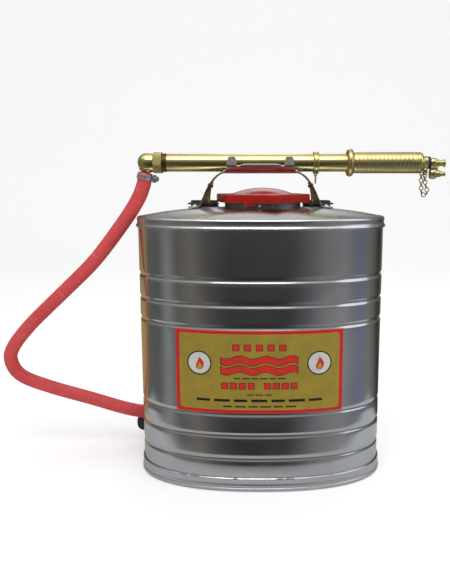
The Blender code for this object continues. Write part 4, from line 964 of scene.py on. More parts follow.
def carry_handle():
    half = handle_rows()
    stations = [(-x, z, w, b) for x, z, w, b in half[:-1]] + list(reversed(half))
    columns = [math.sin(math.pi / 2 * c) for c in np.linspace(-1, 1, 27)]
    rings = []
    for i, station in enumerate(stations):
        before, after = stations[max(i - 1, 0)], stations[min(i + 1, len(stations) - 1)]
        along = Vector((after[0] - before[0], 0.0, after[1] - before[1])).normalized()
        if abs(station[0]) <= 0.0513:
            along = Vector((1.0, 0.0, 0.0))
        top, bottom = [], []
        for column in columns:
            edge = 1.0 - 0.55 * max(0.0, abs(column) - 0.97) / 0.03
            point, normal = handle_place(station, along, station[2] * column)
            top.append(point + normal * HANDLE_SHEET / 2 * edge)
            bottom.append(point - normal * HANDLE_SHEET / 2 * edge)
        rings.append(top + bottom[::-1])
    mesh = loft_mesh("handle", rings, False)
    new_piece("handle", mesh, HANDLE_METAL, "tank", "carry_handle", sharp=40.0)


def dome_rivet(name, node, origin, axis, radius, height, material, body):
    """A rivet's domed head on a thin flat base. origin is where the head sits."""
    profile = [(height, 0.0)]
    for step in range(1, 7):
        turn = math.pi / 2 * step / 6
        profile.append((height * math.cos(turn), radius * math.sin(turn)))
    return turned(name, profile + [(-0.0004, radius * 0.98), (-0.0004, 0.0)], material, body, origin, axis, node,
                  steps=40, radius=0.0001)


def foot_rivets():
    for node in NODES:
        if node.startswith("foot_rivet"):
            low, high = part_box(node)
            middle = (low + high) / 2
            place = Vector((middle.x, middle.y, high.z - 0.0024))
            dome_rivet(node + "_head", node, place, (0, 0, 1), 0.0036, 0.0024, ZINC, "tank")


# ---- strap hangers, loops, straps and their lower fittings --------------------------------------
LOOP_LOW, LOOP_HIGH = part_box("strap_loop_right")
LOOP_X = (LOOP_LOW.x + LOOP_HIGH.x) / 2
LOOP_Z = (LOOP_LOW.z + LOOP_HIGH.z) / 2
LOOP_WIRE = 0.0012
LOOP_FRONT = LOOP_LOW.y + LOOP_WIRE
LOOP_BACK = LOOP_HIGH.y - LOOP_WIRE
FOLD = 0.0038
LEG_LOW = Vector((0.0810, PUMP_Y, 0.44000))
LEG_HIGH = Vector((0.0755, PUMP_Y, 0.44950))


def mirrored(vector, side):
    return Vector((vector.x * side, vector.y, vector.z))


def leg_normal(side):
    along = LEG_HIGH - LEG_LOW
    return Vector((side * along.z, 0.0, -along.x)).normalized()


def strap_hanger(side, word):
    """The tapered tab inside the handle's leg: a round top at its rivet and a wide foot with the loop's eye."""
    rivet = mirrored(LEG_LOW.lerp(LEG_HIGH, 0.75), side)
    middle = rivet - leg_normal(side) * 0.0026
    up = Vector((-side * (LEG_LOW.x - LEG_HIGH.x), 0.0, LEG_HIGH.z - LEG_LOW.z)).normalized()
    foot = Vector((side * 0.0785, PUMP_Y, LOOP_Z + 0.0028))
    bend = middle - up * 0.0050
    controls = [
        (middle + up * 0.0062, 0.0012, 0.0012), (middle + up * 0.0055, 0.0034, 0.0034),
        (middle + up * 0.0035, 0.0055, 0.0055), (middle, 0.0068, 0.0068), (bend, 0.0076, 0.0076),
        (bend.lerp(foot, 0.35), 0.0090, 0.0095), (bend.lerp(foot, 0.7), 0.0112, 0.0140), (foot, 0.0128, 0.0192),
    ]
    places = curve_points([c[0] for c in controls], 5)
    fronts = curve_points([(c[1], c[2], 0.0) for c in controls], 5)
    rings = []
    for i, (place, width) in enumerate(zip(places, fronts)):
        tangent = places[min(i + 1, len(places) - 1)] - places[max(i - 1, 0)]
        normal = Vector((tangent.z, 0.0, -tangent.x)).normalized() * 0.0006
        section = rounded([(-width.x, 1.0), (-width.x, -1.0), (width.y, -1.0), (width.y, 1.0)], 0.0, steps=1)
        rings.append([place + Vector((0, a, 0)) + normal * b for a, b in section])
    tab = loose("tab", loft_mesh("tab", rings, False), OLD_BRASS)
    eye = turned_mesh("eye", [(-0.0018, 0.0030), (0.0018, 0.0030), (0.0018, 0.0017), (-0.0018, 0.0017)],
                      (foot.x, LOOP_FRONT, LOOP_Z), (1, 0, 0), steps=32)
    union(tab, loose("eye", eye, OLD_BRASS))
    tab.name = f"hanger_tab_{word}"
    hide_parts(f"strap_hanger_{word}")
    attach(tab, "tank")
    outside = [(0.0034, 0.0), (0.0032, 0.0012), (0.0025, 0.0024), (0.0013, 0.0033), (0.0011, 0.0016),
               (-0.0035, 0.0016), (-0.0037, 0.0028), (-0.0047, 0.0025), (-0.0054, 0.0013), (-0.0055, 0.0)]
    turned(f"hanger_pin_{word}", outside, OLD_BRASS, "tank", rivet, leg_normal(side), f"hanger_rivet_{word}", steps=36)
    leg = mirrored(LEG_LOW.lerp(LEG_HIGH, -1.55), side) - leg_normal(side) * 0.0016
    top = middle - up * 0.0020
    inner = Vector((foot.x, PUMP_Y, foot.z + 0.0016))
    for part, y in (("front", PUMP_Y - 0.0108), ("rear", PUMP_Y + 0.0108)):
        outline = [(top - up * 0.002 - Vector((side * 0.0012, 0, 0))), (inner - Vector((side * 0.0004, 0, 0))), leg,
                   (top + Vector((side * 0.0012, 0, 0)))]
        sheets = [[Vector((p.x, y + d, p.z)) for p in outline] for d in (-0.0004, 0.0004)]
        new_piece(f"hanger_cheek_{part}_{word}", loft_mesh("cheek", sheets, False), OLD_BRASS, "tank")
    near, far = LOOP_X - 0.0230, LOOP_X + 0.0230
    corners = [(near + 0.0075, LOOP_FRONT), (far, LOOP_FRONT), (far, LOOP_BACK), (near, LOOP_BACK),
               (near, LOOP_FRONT + 0.0075)]
    outline = rounded(corners, 0.0030, steps=6)
    points = [Vector((side * x, y, LOOP_Z)) for x, y in outline]
    wire(f"strap_wire_{word}", points, LOOP_WIRE, DARK_STEEL, "tank", f"strap_loop_{word}", cyclic=True)


STRAP_LINE = [
    (LOOP_X, 0.0480, 0.4163), (LOOP_X, 0.0380, 0.4160), (LOOP_X, LOOP_BACK, LOOP_Z - FOLD),
    (LOOP_X, LOOP_BACK - FOLD, LOOP_Z), (LOOP_X, LOOP_BACK, LOOP_Z + FOLD), (LOOP_X, 0.0450, 0.4202),
    (0.0900, 0.0660, 0.4160), (0.0905, 0.0880, 0.4070), (0.0930, 0.1010, 0.3850), (0.0990, 0.1130, 0.3400),
    (0.1090, 0.1270, 0.2700), (0.1200, 0.1340, 0.2000),
]
STRAP_TAIL = {
    "left": [(0.1350, 0.1300, 0.1300), (0.1580, 0.1210, 0.0900), (0.1790, 0.1100, 0.0660),
             (0.1930, 0.1000, 0.0480), (0.1990, 0.0910, 0.0300), (0.1980, 0.0860, 0.0165)],
    "right": [(0.1330, 0.1300, 0.1300), (0.1480, 0.1150, 0.0800), (0.1660, 0.0960, 0.0480)],
}


def strap_frame(side, word, steps):
    """The strap's middle line and, at each of its points, the unit vector across the strap."""
    path = curve_points([(side * x, y, z) for x, y, z in STRAP_LINE + STRAP_TAIL[word]], steps)
    across = []
    for i in range(len(path)):
        along = (path[min(i + 1, len(path) - 1)] - path[max(i - 1, 0)]).normalized()
        sideways = Vector((side, 0.0, 0.0))
        across.append((sideways - along * sideways.dot(along)).normalized())
    return path, across


def shoulder_strap(side, word):
    """Woven strap: soft rounded edges, a slight crown and ripple, and a rounded tail."""
    path, across = strap_frame(side, word, 12)
    half, thick = STRAP_WIDTH / 2 - 0.0003, WEBBING / 2
    rings, uvs, travelled = [], [], 0.0
    total = sum((b - a).length for a, b in zip(path, path[1:]))
    for i, point in enumerate(path):
        if i:
            travelled += (point - path[i - 1]).length
        along = (path[min(i + 1, len(path) - 1)] - path[max(i - 1, 0)]).normalized()
        out = across[i].cross(along).normalized()
        left = total - travelled
        width = half * math.sqrt(max(0.02, 1.0 - max(0.0, 1.0 - left / 0.016) ** 2)) if left < 0.016 else half
        ring = []
        for j in range(28):
            turn = 2 * math.pi * j / 28
            a = math.copysign(abs(math.cos(turn)) ** 0.35, math.cos(turn))
            b = math.copysign(abs(math.sin(turn)) ** 0.5, math.sin(turn))
            ripple = 0.0006 * math.sin(travelled * 55.0 + a * 2.0) * min(1.0, travelled / 0.08)
            ring.append(point + across[i] * (a * width) + out * (b * thick + ripple))
            uvs.append((a * half, travelled + (0.5 if b < 0 else 0.0)))
        rings.append(ring)
    mesh = loft_mesh(f"strap_{word}", rings, False, uvs)
    new_piece(f"strap_{word}", mesh, WEBBING_BLACK, "tank", f"shoulder_strap_{word}", sharp=60.0)
    stitches(path, across, word)


def stitches(path, across, word):
    """Two rows of stitches across the folded end, through both layers of the strap."""
    work = bmesh.new()
    start = max(range(len(path)), key=lambda i: -abs(path[i].y - 0.0425) - 10 * (path[i].z < LOOP_Z))
    for row in (0, 3):
        point, sideways = path[start + row], across[start + row]
        along = (path[start + row + 1] - path[start + row]).normalized()
        out = sideways.cross(along).normalized()
        if out.z < 0:
            out = -out
        for i in range(11):
            place = point + sideways * (i - 5) * 0.0034 + out * (WEBBING / 2 + 0.0001)
            turn = Matrix([sideways, along, out]).transposed().to_4x4()
            stretch = Matrix.Diagonal((0.0012, 0.0004, 0.0004, 1.0))
            bmesh.ops.create_uvsphere(work, u_segments=10, v_segments=6, radius=1.0,
                                      matrix=Matrix.Translation(place) @ turn @ stretch)
    mesh = bpy.data.meshes.new(f"strap_stitches_{word}")
    work.to_mesh(mesh)
    work.free()
    new_piece(f"strap_stitches_{word}", mesh, THREAD, "tank")


def strap_slide(side, word):
    """The adjusting slide: a bright wire frame around the strap."""
    path, across = strap_frame(side, word, 2)
    index = int(len(path) * 0.78)
    along = (path[index + 1] - path[index - 1]).normalized()
    sideways = across[index]
    out = sideways.cross(along).normalized()
    half, deep = STRAP_WIDTH / 2 + 0.0022, WEBBING / 2 + 0.0020
    corners = rounded([(half, deep), (half, -deep), (-half, -deep), (-half, deep)], 0.0016, steps=4)
    corners = [(a, b) for a, b in corners]
    points = [path[index] + sideways * a + out * b for a, b in corners]
    wire(f"slide_{word}", points, 0.0012, ZINC, "tank", f"strap_slide_{word}", cyclic=True)


def lower_bracket(side, word):
    """The staple on the wall, a plate with an eye, and the ring the strap hooks to."""
    point, normal = wall_place(side * 0.158, back=True)
    tangent = Vector((-normal.y, normal.x, 0.0))
    up = Vector((0, 0, 1))
    base = point + up * 0.0320
    plate = block_mesh("plate", base + normal * 0.00185, (tangent, up, normal), (0.0085, 0.0085, 0.0007), 0.0005)
    bracket = new_piece(f"bracket_{word}", plate, NECK_METAL, None)
    eye = loft_mesh("eye", tube_rings(circle_points(base + normal * 0.0062, tangent, 0.0044, 40), 0.0014, 16, True), True)
    union(bracket, loose("eye", eye, NECK_METAL))
    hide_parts(f"strap_bracket_{word}")
    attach(bracket, "tank")
    centre = base + normal * 0.0154
    wire(f"ring_{word}", circle_points(centre, up, 0.0092, 56), 0.0013, ZINC, "tank", f"strap_ring_{word}", cyclic=True)
    hook(side, word, centre)


def hook(side, word, ring_centre):
    """The wire hook that joins the strap's tail to the ring."""
    path, _ = strap_frame(side, word, 12)
    tail = path[-4]
    outward = (tail - ring_centre)
    outward.z = 0.0
    outward.normalize()
    grip = ring_centre + outward * 0.0092
    middle = grip.lerp(tail, 0.5) + Vector((0, 0, 0.0035))
    points = curve_points([tail + Vector((0, -0.0034, 0.0)), middle, grip + Vector((0, 0, 0.0034)) + outward * 0.0028,
                           grip + Vector((0, 0, 0.0030)) - outward * 0.0022, grip - outward * 0.0034,
                           grip - Vector((0, 0, 0.0030)) - outward * 0.0022, grip - Vector((0, 0, 0.0034))], 6)
    wire(f"hook_{word}", points, 0.0010, ZINC, "tank", around=12)


# ---- outlet, hose and clamps --------------------------------------------------------------------
ELBOW_X = -0.1710
BARB_RADIUS = 0.0066
BARB_TILT = math.radians(11.0)
BARB_DOWN = Vector((-math.sin(BARB_TILT), 0.0, -math.cos(BARB_TILT)))
ELBOW = Vector((ELBOW_X, PUMP_Y, PUMP_Z))
OUTLET_POINT, OUTLET_NORMAL = wall_place(-0.128, back=True)
OUTLET = OUTLET_POINT + Vector((0, 0, 0.044)) + OUTLET_NORMAL * 0.0225
OUTLET_BARB = (Vector((-0.2050, 0.0670, 0.0605)) - OUTLET).normalized()


def hexagonal(flat, along_low, along_high):
    """Adds to a round profile so that between two stations it is a hexagon of this apothem."""
    def shape(along, turn):
        if not along_low <= along <= along_high:
            return 0.0
        folded = (turn % math.radians(60.0)) - math.radians(30.0)
        return min(0.0, flat / math.cos(folded) - flat * 1.1547)
    return shape


def outlet_fitting():
    spud = [(-0.0095, 0.0100), (-0.0150, 0.0100), (-0.0155, 0.0128), (-0.0216, 0.0128), (-0.0216, 0.0100),
            (-0.0300, 0.0100), (-0.0300, 0.0066), (-0.0095, 0.0066)]
    turned("spud", spud, OLD_BRASS, "tank", OUTLET, OUTLET_NORMAL, "outlet_spud",
           shape=hexagonal(0.0128 / 1.1547, -0.0212, -0.0158))
    body = [(-0.0092, 0.0), (-0.0092, 0.0098), (-0.0070, 0.0098), (-0.0062, 0.0092), (0.0, 0.0092)]
    for step in range(1, 7):
        turn = math.pi / 2 * step / 6
        body.append((0.0092 * math.sin(turn), 0.0092 * math.cos(turn)))
    body[-1] = (0.0092, 0.0)
    elbow = loose("outlet_body", turned_mesh("outlet_body", body, OUTLET, OUTLET_NORMAL), BRASS)
    barb = [(0.0, 0.0), (0.0, 0.0088), (0.0100, 0.0088), (0.0112, BARB_RADIUS)]
    for rib in range(4):
        barb += [(0.0180 + rib * 0.005, BARB_RADIUS), (0.0182 + rib * 0.005, BARB_RADIUS - 0.0004)]
    barb += [(0.0380, 0.0056), (0.0380, 0.0)]
    union(elbow, loose("barb", turned_mesh("barb", barb, OUTLET, OUTLET_BARB), BRASS))
    elbow.name = "outlet_bend"
    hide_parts("outlet_elbow")
    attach(elbow, "tank")


def hose():
    """The hose as a true tube between the tank and the pump, pinched a little under its clamps."""
    controls = [
        ELBOW + BARB_DOWN * 0.0150, ELBOW + BARB_DOWN * 0.024, ELBOW + BARB_DOWN * 0.034,
        (-0.1870, PUMP_Y, 0.4250), (-0.2100, -0.0060, 0.3915),
        (-0.2600, 0.0060, 0.3305), (-0.3165, 0.0210, 0.2775), (-0.3760, 0.0320, 0.2220),
        (-0.4100, 0.0400, 0.1820), (-0.4180, 0.0460, 0.1560), (-0.4040, 0.0510, 0.1290),
        (-0.3600, 0.0560, 0.1080), (-0.2900, 0.0610, 0.0850), OUTLET + OUTLET_BARB * 0.095,
        OUTLET + OUTLET_BARB * 0.045, OUTLET + OUTLET_BARB * 0.0130,
    ]
    coarse = curve_points(controls, 14)
    points = [coarse[0]] + [p for i, p in enumerate(coarse[1:-1], 1) if i % 2 == 0] + [coarse[-1]]
    around = 40
    clamps = (ELBOW + BARB_DOWN * 0.0215, OUTLET + OUTLET_BARB * 0.026)
    frames = frames_along(points)
    outer, inner, uvs_outer, uvs_inner, travelled = [], [], [], [], 0.0
    for i, (point, (side, up)) in enumerate(zip(points, frames)):
        travelled += (point - points[i - 1]).length if i else 0.0
        pinch = sum(0.0006 * math.exp(-(((point - clamp).length / 0.005) ** 2)) for clamp in clamps)
        for rings, radius, uvs in ((outer, HOSE_RADIUS - pinch, uvs_outer), (inner, HOSE_BORE - pinch * 0.5, uvs_inner)):
            turns = [2 * math.pi * k / around for k in range(around)]
            rings.append([point + (side * math.cos(t) + up * math.sin(t)) * radius for t in turns])
            uvs.append([(k / around, travelled * 100.0) for k in range(around)])
    rings = outer + inner[::-1]
    uvs = [pair for ring in uvs_outer + uvs_inner[::-1] for pair in ring]
    made = new_piece("red_hose", loft_mesh("red_hose", rings, True, uvs), HOSE_RED, None, "hose", sharp=50.0)
    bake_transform(made)


def hose_clamp(word, body, centre, along, side):
    """A worm-drive clamp: slotted band, arched housing and a slotted hexagon screw."""
    inner, outer = HOSE_RADIUS + 0.0002, HOSE_RADIUS + 0.0011
    side = (side - along * side.dot(along)).normalized()
    tangent = along.cross(side).normalized()

    def slots(position, turn):
        wave = math.sin(turn * 30)
        return -0.00035 * max(0.0, wave) ** 0.5 if abs(position) < 0.0022 else 0.0

    band = [(-0.0036, outer), (-0.0032, outer + 0.0002), (-0.0024, outer), (-0.0020, outer), (0.0020, outer),
            (0.0024, outer), (0.0032, outer + 0.0002), (0.0036, outer), (0.0036, inner), (-0.0036, inner)]
    turned(f"band_{word}", band, ZINC, body, centre, along, f"clamp_band_{word}", steps=240, radius=0.0002, shape=slots)
    middle = centre + side * (outer + 0.0042)
    arch = [(-0.0058, -0.0036), (-0.0058, 0.0004)]
    for step in range(0, 9):
        turn = math.pi * step / 8
        arch.append((-0.0044 * math.cos(turn), 0.0004 + 0.0040 * math.sin(turn)))
    arch += [(0.0058, 0.0004), (0.0058, -0.0036)]
    rings = [[middle + along * a + side * b + tangent * t for a, b in arch] for t in (-0.0054, -0.0050, 0.0050, 0.0054)]
    new_piece(f"housing_{word}", loft_mesh(f"housing_{word}", rings, False), ZINC, body, f"clamp_housing_{word}")
    head = [(-0.0102, 0.0), (-0.0102, 0.0012), (-0.0102, 0.0036), (-0.0098, 0.0042), (-0.0066, 0.0042),
            (-0.0062, 0.0048), (-0.0056, 0.0048), (-0.0054, 0.0)]
    screw = loose("screw", turned_mesh("screw", head, middle, tangent, steps=72,
                                       shape=hexagonal(0.0042 / 1.1547, -0.0103, -0.0064)), ZINC)
    threads = [(0.0053, 0.0)]
    threads += [(0.0054 + 0.00032 * i, 0.0028 if i % 2 else 0.0024) for i in range(6)] + [(0.0074, 0.0)]
    turned(f"screw_end_{word}", threads, ZINC, body, middle, tangent, steps=36, radius=0.0001)
    slot = block_mesh("slot", middle - tangent * 0.0102, (side, along, tangent), (0.0060, 0.0006, 0.0010), 0.0001)
    cutter = loose("slot", slot, ZINC)
    cut(screw, cutter)
    screw.name = f"screw_{word}"
    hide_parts(f"clamp_screw_{word}")
    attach(screw, body)


def cut(part, cutter):
    """Cuts the cutter's shape out of the part, applied."""
    modifier = part.modifiers.new("cut", "BOOLEAN")
    modifier.operation = "DIFFERENCE"
    modifier.solver = "EXACT"
    modifier.object = cutter
    bpy.context.view_layer.update()
    mesh = bpy.data.meshes.new_from_object(part.evaluated_get(bpy.context.evaluated_depsgraph_get()))
    part.modifiers.clear()
    part.data = mesh
    bpy.data.objects.remove(cutter)
    mesh.shade_smooth()
    mesh.set_sharp_from_angle(angle=math.radians(32.0))


# ---- pump ---------------------------------------------------------------------------------------
NUT_RADIUS = 0.0157


def inlet_elbow():
    """The cast elbow: a ball end, a body that enters the union nut and a barbed tail under the hose."""
    radius = 0.0142
    body = [(ELBOW_X - radius, 0.0)]
    for step in range(1, 11):
        turn = math.pi / 2 * step / 10
        body.append((ELBOW_X - radius * math.cos(turn), radius * math.sin(turn)))
    body += [(-0.1611, radius), (-0.1611, 0.0116), (-0.1585, 0.0116), (-0.1585, 0.0132), (-0.1560, 0.0132),
             (-0.1560, 0.0)]
    origin, axis = on_pump()
    elbow = loose("elbow", turned_mesh("elbow", body, origin, axis, radius=0.0003), BRASS)
    barb = [(0.0, 0.0), (0.0, 0.0104), (0.0112, 0.0104), (0.0124, 0.0098), (0.0134, 0.0080), (0.0138, BARB_RADIUS),
            (0.0180, BARB_RADIUS), (0.0300, BARB_RADIUS), (0.0320, 0.0060), (0.0320, 0.0)]
    union(elbow, loose("barb", turned_mesh("barb", barb, ELBOW, BARB_DOWN), BRASS))
    elbow.name = "elbow_casting"
    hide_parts("inlet_elbow")
    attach(elbow, "pump")


def knurl(count, depth, pitch, low, high):
    """A diamond knurl between two stations along the axis."""
    def shape(along, turn):
        if not low <= along <= high:
            return 0.0
        a = count * turn / 2 + math.pi * along / pitch
        b = count * turn / 2 - math.pi * along / pitch
        return depth * (abs(math.sin(a) * math.sin(b)) ** 0.7 - 1.0)
    return shape


def union_nut():
    start, end = -0.1608, -0.1478
    stations = [(end, 0.0140), (end, NUT_RADIUS - 0.0006), (end - 0.0006, NUT_RADIUS)]
    stations += [(x, NUT_RADIUS) for x in np.linspace(end - 0.0009, start + 0.0009, 34)]
    stations += [(start + 0.0006, NUT_RADIUS), (start, NUT_RADIUS - 0.0006), (start, 0.0120), (-0.1590, 0.0120),
                 (-0.1590, 0.0140)]
    origin, axis = on_pump()
    turned("knurled_nut", stations, KNURL_BRASS, "pump", origin, axis, "union_nut", steps=360, radius=0.0001,
           shape=knurl(44, 0.0006, 0.0026, start + 0.0007, end - 0.0007))


def barrel():
    """The long tube, with the threads for the union nut at its left end."""
    low, high, bore = BARREL_LOW.x, BARREL_HIGH.x, 0.0122
    profile = [(low, bore), (low, 0.0126), (-0.1410, 0.0126), (-0.1406, BARREL_RADIUS), (high, BARREL_RADIUS),
               (high, bore)]
    origin, axis = on_pump()
    turned("pump_barrel", profile, BRASS, "pump", origin, axis, "barrel", radius=0.00025, steps=128)
    start, end, crest, root = -0.1475, -0.1412, BARREL_RADIUS + 0.0005, BARREL_RADIUS - 0.0003
    ridges = [(start, root)]
    for i in range(5):
        x = start + (end - start) * (i + 0.5) / 5
        ridges += [(x - 0.0003, crest), (x + 0.0003, crest), (x + 0.00055, root)]
    turned("barrel_threads", ridges + [(end, root), (end, 0.0127), (start, 0.0127)], OLD_BRASS, "pump", origin, axis,
           radius=0.0001)


def packing_bush():
    profile = [(0.2260, 0.0110), (0.2250, BARREL_RADIUS), (0.2223, BARREL_RADIUS), (0.2223, 0.0119),
               (0.1960, 0.0119), (0.1960, 0.0098), (0.2260, 0.0098)]
    origin, axis = on_pump()
    turned("gland", profile, BRASS, "pump", origin, axis, "packing_bush")


def band_ring():
    """The two-beaded band clamped on the barrel, with the eye that holds the loose ring."""
    low, high = 0.0788, 0.0874
    profile = [(low, 0.01355), (low, 0.0150), (low + 0.0005, 0.0158)]
    for centre in (low + 0.0018, high - 0.0018):
        for step in range(0, 7):
            turn = math.pi * step / 6
            profile.append((centre - 0.0014 * math.cos(turn), 0.0153 + 0.0014 * math.sin(turn)))
    profile += [(high - 0.0004, 0.0156), (high, 0.0150), (high, 0.01355)]
    origin, axis = on_pump()
    band = loose("band", turned_mesh("band", profile, origin, axis, radius=0.0001), BRASS)
    eye = Vector((0.0830, PUMP_Y, PUMP_Z - 0.0179))
    ring = loft_mesh("eye", tube_rings(circle_points(eye, (0, 1, 0), 0.0022, 32), 0.0007, 12, True), True)
    union(band, loose("eye", ring, BRASS))
    band.name = "barrel_band"
    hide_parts("band_ring")
    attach(band, "pump")
    low_corner, high_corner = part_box("hanging_ring")
    middle = (low_corner + high_corner) / 2
    wire("loose_ring", circle_points(middle, (1, 0, 0), 0.0063, 56), 0.00085, BRASS, "hang_ring", "hanging_ring",
         cyclic=True)


# ---- grip and nozzle ----------------------------------------------------------------------------
def grip_rings(low, high, pitch):
    """The grip's crowned rings, one every pitch, with faint lengthwise flutes between their grooves."""
    def shape(along, turn):
        if not low <= along <= high:
            return 0.0
        place = ((along - low) / pitch) % 1.0
        crown = math.sin(math.pi * place)
        flute = 0.5 + 0.5 * math.cos(turn * 45)
        return -0.00022 * (1.0 - crown ** 0.6) - 0.00005 * flute * crown
    return shape


def grip_sleeve():
    start, end = GRIP_LOW.x, GRIP_HIGH.x
    bore, guide = 0.0144, BARREL_RADIUS + 0.0004
    bead = []
    for step in range(0, 13):
        turn = math.pi * step / 12
        bead.append((0.1341 - 0.0050 * math.cos(turn), 0.0158 + 0.0049 * math.sin(turn)))
    stations = [(x, GRIP_RADIUS) for x in np.arange(0.1413, end - 0.0022, 0.00055)]
    profile = [(start, guide), (start, 0.0152), *bead, (0.1397, 0.0152), (0.1405, GRIP_RADIUS - 0.0001), *stations,
               (end - 0.0018, GRIP_RADIUS - 0.0002), (end - 0.0012, GRIP_RADIUS), (end, GRIP_RADIUS), (end, bore),
               (0.1373, bore), (0.1353, guide)]
    origin, axis = on_pump()
    turned("grip_tube", profile, GRIP_BRASS, "grip", origin, axis, "grip_sleeve", steps=360, radius=0.0001,
           shape=grip_rings(0.1413, end - 0.0020, 0.0062))


def grip_end_cap():
    """The grip's rounded end with a fine groove, the neck, the swivel lug and the chain's two eyes."""
    start, neck_end = GRIP_HIGH.x + GAP, 0.2508
    profile = [(neck_end, 0.0058), (neck_end, 0.0095), (0.2451, 0.0095), (0.2447, 0.0100)]
    for step in range(0, 9):
        turn = math.pi / 2 * step / 8
        profile.append((0.2373 + 0.0068 * math.cos(turn), 0.0102 + 0.0056 * math.sin(turn)))
    profile += [(0.2358, GRIP_RADIUS), (0.2353, GRIP_RADIUS - 0.0004), (0.2347, GRIP_RADIUS), (start, GRIP_RADIUS),
                (start, 0.0141), (0.2263, 0.0141), (0.2263, 0.0098), (0.2409, 0.0098), (0.2409, 0.0058)]
    origin, axis = on_pump()
    cap = loose("end_cap", turned_mesh("end_cap", profile, origin, axis, radius=0.0003), BRASS)
    lug_origin, _ = on_pump(HEAD_DROP + 0.0035)
    lug = [(0.2460, 0.0), (0.2460, 0.0062), (0.2508, 0.0062), (0.2508, 0.0)]
    union(cap, loose("lug", turned_mesh("lug", lug, lug_origin, axis, radius=0.0006), BRASS))
    for place in (CHAIN_LEFT, CHAIN_RIGHT):
        ring = loft_mesh("eye", tube_rings(circle_points(place, (0, 1, 0), 0.0024, 28), 0.0007, 12, True), True)
        union(cap, loose("eye", ring, BRASS))
    cap.name = "grip_end"
    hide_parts("grip_end_cap")
    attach(cap, "grip")


CHAIN_LEFT = Vector((0.2428, PUMP_Y, PUMP_Z - GRIP_RADIUS - 0.0012))
CHAIN_RIGHT = Vector((0.2485, PUMP_Y, PUMP_Z - HEAD_DROP - 0.0035 - 0.0080))


def nozzle():
    origin, axis = on_pump()
    gasket = [(0.2511, 0.0040), (0.2511, 0.0092), (0.2550, 0.0092), (0.2550, 0.0040)]
    turned("face_gasket", gasket, BLACK_RUBBER, "grip", origin, axis, "nozzle_gasket", radius=0.0005)
    start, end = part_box("nozzle_head")[0].x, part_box("nozzle_head")[1].x
    upper, _ = on_pump(HEAD_DROP - TIP_OFFSET)
    lower, _ = on_pump(HEAD_DROP + TIP_OFFSET)
    middle, _ = on_pump(HEAD_DROP)
    lobe = [(start, 0.0), (start, 0.0070), (start + 0.0008, 0.0078), (end - 0.0030, 0.0078), (end - 0.0014, 0.0072),
            (end, 0.0060), (end, 0.0)]
    head = loose("head", turned_mesh("head", lobe, upper, axis, steps=64), BRASS)
    union(head, loose("lobe", turned_mesh("lobe", lobe, lower, axis, steps=64), BRASS))
    web = [(start + 0.0004, 0.0), (start + 0.0004, 0.0058), (end - 0.0010, 0.0058), (end - 0.0010, 0.0)]
    union(head, loose("web", turned_mesh("web", web, middle, axis, steps=64), BRASS))
    head.name = "selector_head"
    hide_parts("nozzle_head")
    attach(head, "nozzle")
    screw = [(0.2656, 0.0), (0.2656, 0.0023), (0.2671, 0.0023), (0.2677, 0.0018), (0.2679, 0.0)]
    pin = loose("pin", turned_mesh("pin", screw, middle, axis, steps=40, radius=0.0002), ZINC)
    slot = block_mesh("slot", middle + axis * 0.2679, (axis, Vector((0, 1, 0)), Vector((0, 0, 1))),
                      (0.0007, 0.0040, 0.0004), 0.0001)
    cut(pin, loose("slot", slot, ZINC))
    pin.name = "pivot_screw_head"
    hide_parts("pivot_screw")
    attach(pin, "nozzle")
    tip = end + GAP
    stream = [(tip, 0.0024), (tip, 0.0052), (tip + 0.0030, 0.0052), (0.2713, 0.0047), (0.2735, 0.0042),
              (0.2747, 0.0049), (0.2757, 0.0059), (0.2770, 0.0060), (0.2780, 0.0053), (0.2783, 0.0044),
              (0.2783, 0.0016)]
    turned("straight_tip", stream, BRASS, "nozzle", upper, axis, "stream_tip", steps=72)
    spray = [(tip, 0.0014), (tip, 0.0052), (tip + 0.0035, 0.0052), (0.2733, 0.0036), (0.2749, 0.0027),
             (0.2759, 0.0031), (0.2767, 0.0038), (0.2779, 0.0038), (0.2786, 0.0031), (0.2787, 0.0009)]
    turned("fan_tip", spray, BRASS, "nozzle", lower, axis, "spray_tip", steps=72)


def chain():
    """Oval wire links, each turned a quarter from the last, hanging in a U between the two eyes."""
    hang = Vector((0.0, 0.0, -0.0036))
    left, right = CHAIN_LEFT + hang, CHAIN_RIGHT + hang
    path = curve_points([left, left + Vector((0.0004, 0, -0.012)), (0.2443, PUMP_Y, 0.4360), (0.2488, PUMP_Y, 0.4325),
                         (0.2528, PUMP_Y, 0.4370), right + Vector((0.0012, 0, -0.009)), right], 40)
    lengths = [0.0]
    for a, b in zip(path, path[1:]):
        lengths.append(lengths[-1] + (b - a).length)
    count = 2 * int(lengths[-1] / 0.0048 / 2) + 1
    vertices, faces = [], []
    for i in range(count):
        wanted = lengths[-1] * i / (count - 1)
        index = min(int(np.searchsorted(lengths, wanted)), len(path) - 1)
        along = (path[min(index + 4, len(path) - 1)] - path[max(index - 4, 0)]).normalized()
        flat = Vector((0, 1, 0))
        wide = along.cross(flat).normalized() if i % 2 else flat
        points = []
        for k in range(28):
            turn = 2 * math.pi * k / 28
            points.append(path[index] + along * (0.0032 * math.cos(turn)) + wide * (0.0029 * math.sin(turn)))
        rings = tube_rings(points, 0.00078, 10, True)
        base = len(vertices)
        vertices += [v for ring in rings for v in ring]
        for a in range(28):
            for b in range(10):
                c, d = (a + 1) % 28, (b + 1) % 10
                faces.append([base + a * 10 + b, base + a * 10 + d, base + c * 10 + d, base + c * 10 + b])
    new_piece("tip_chain", mesh_of("tip_chain", vertices, faces), CHAIN_BRASS, "nozzle_chain", "chain")


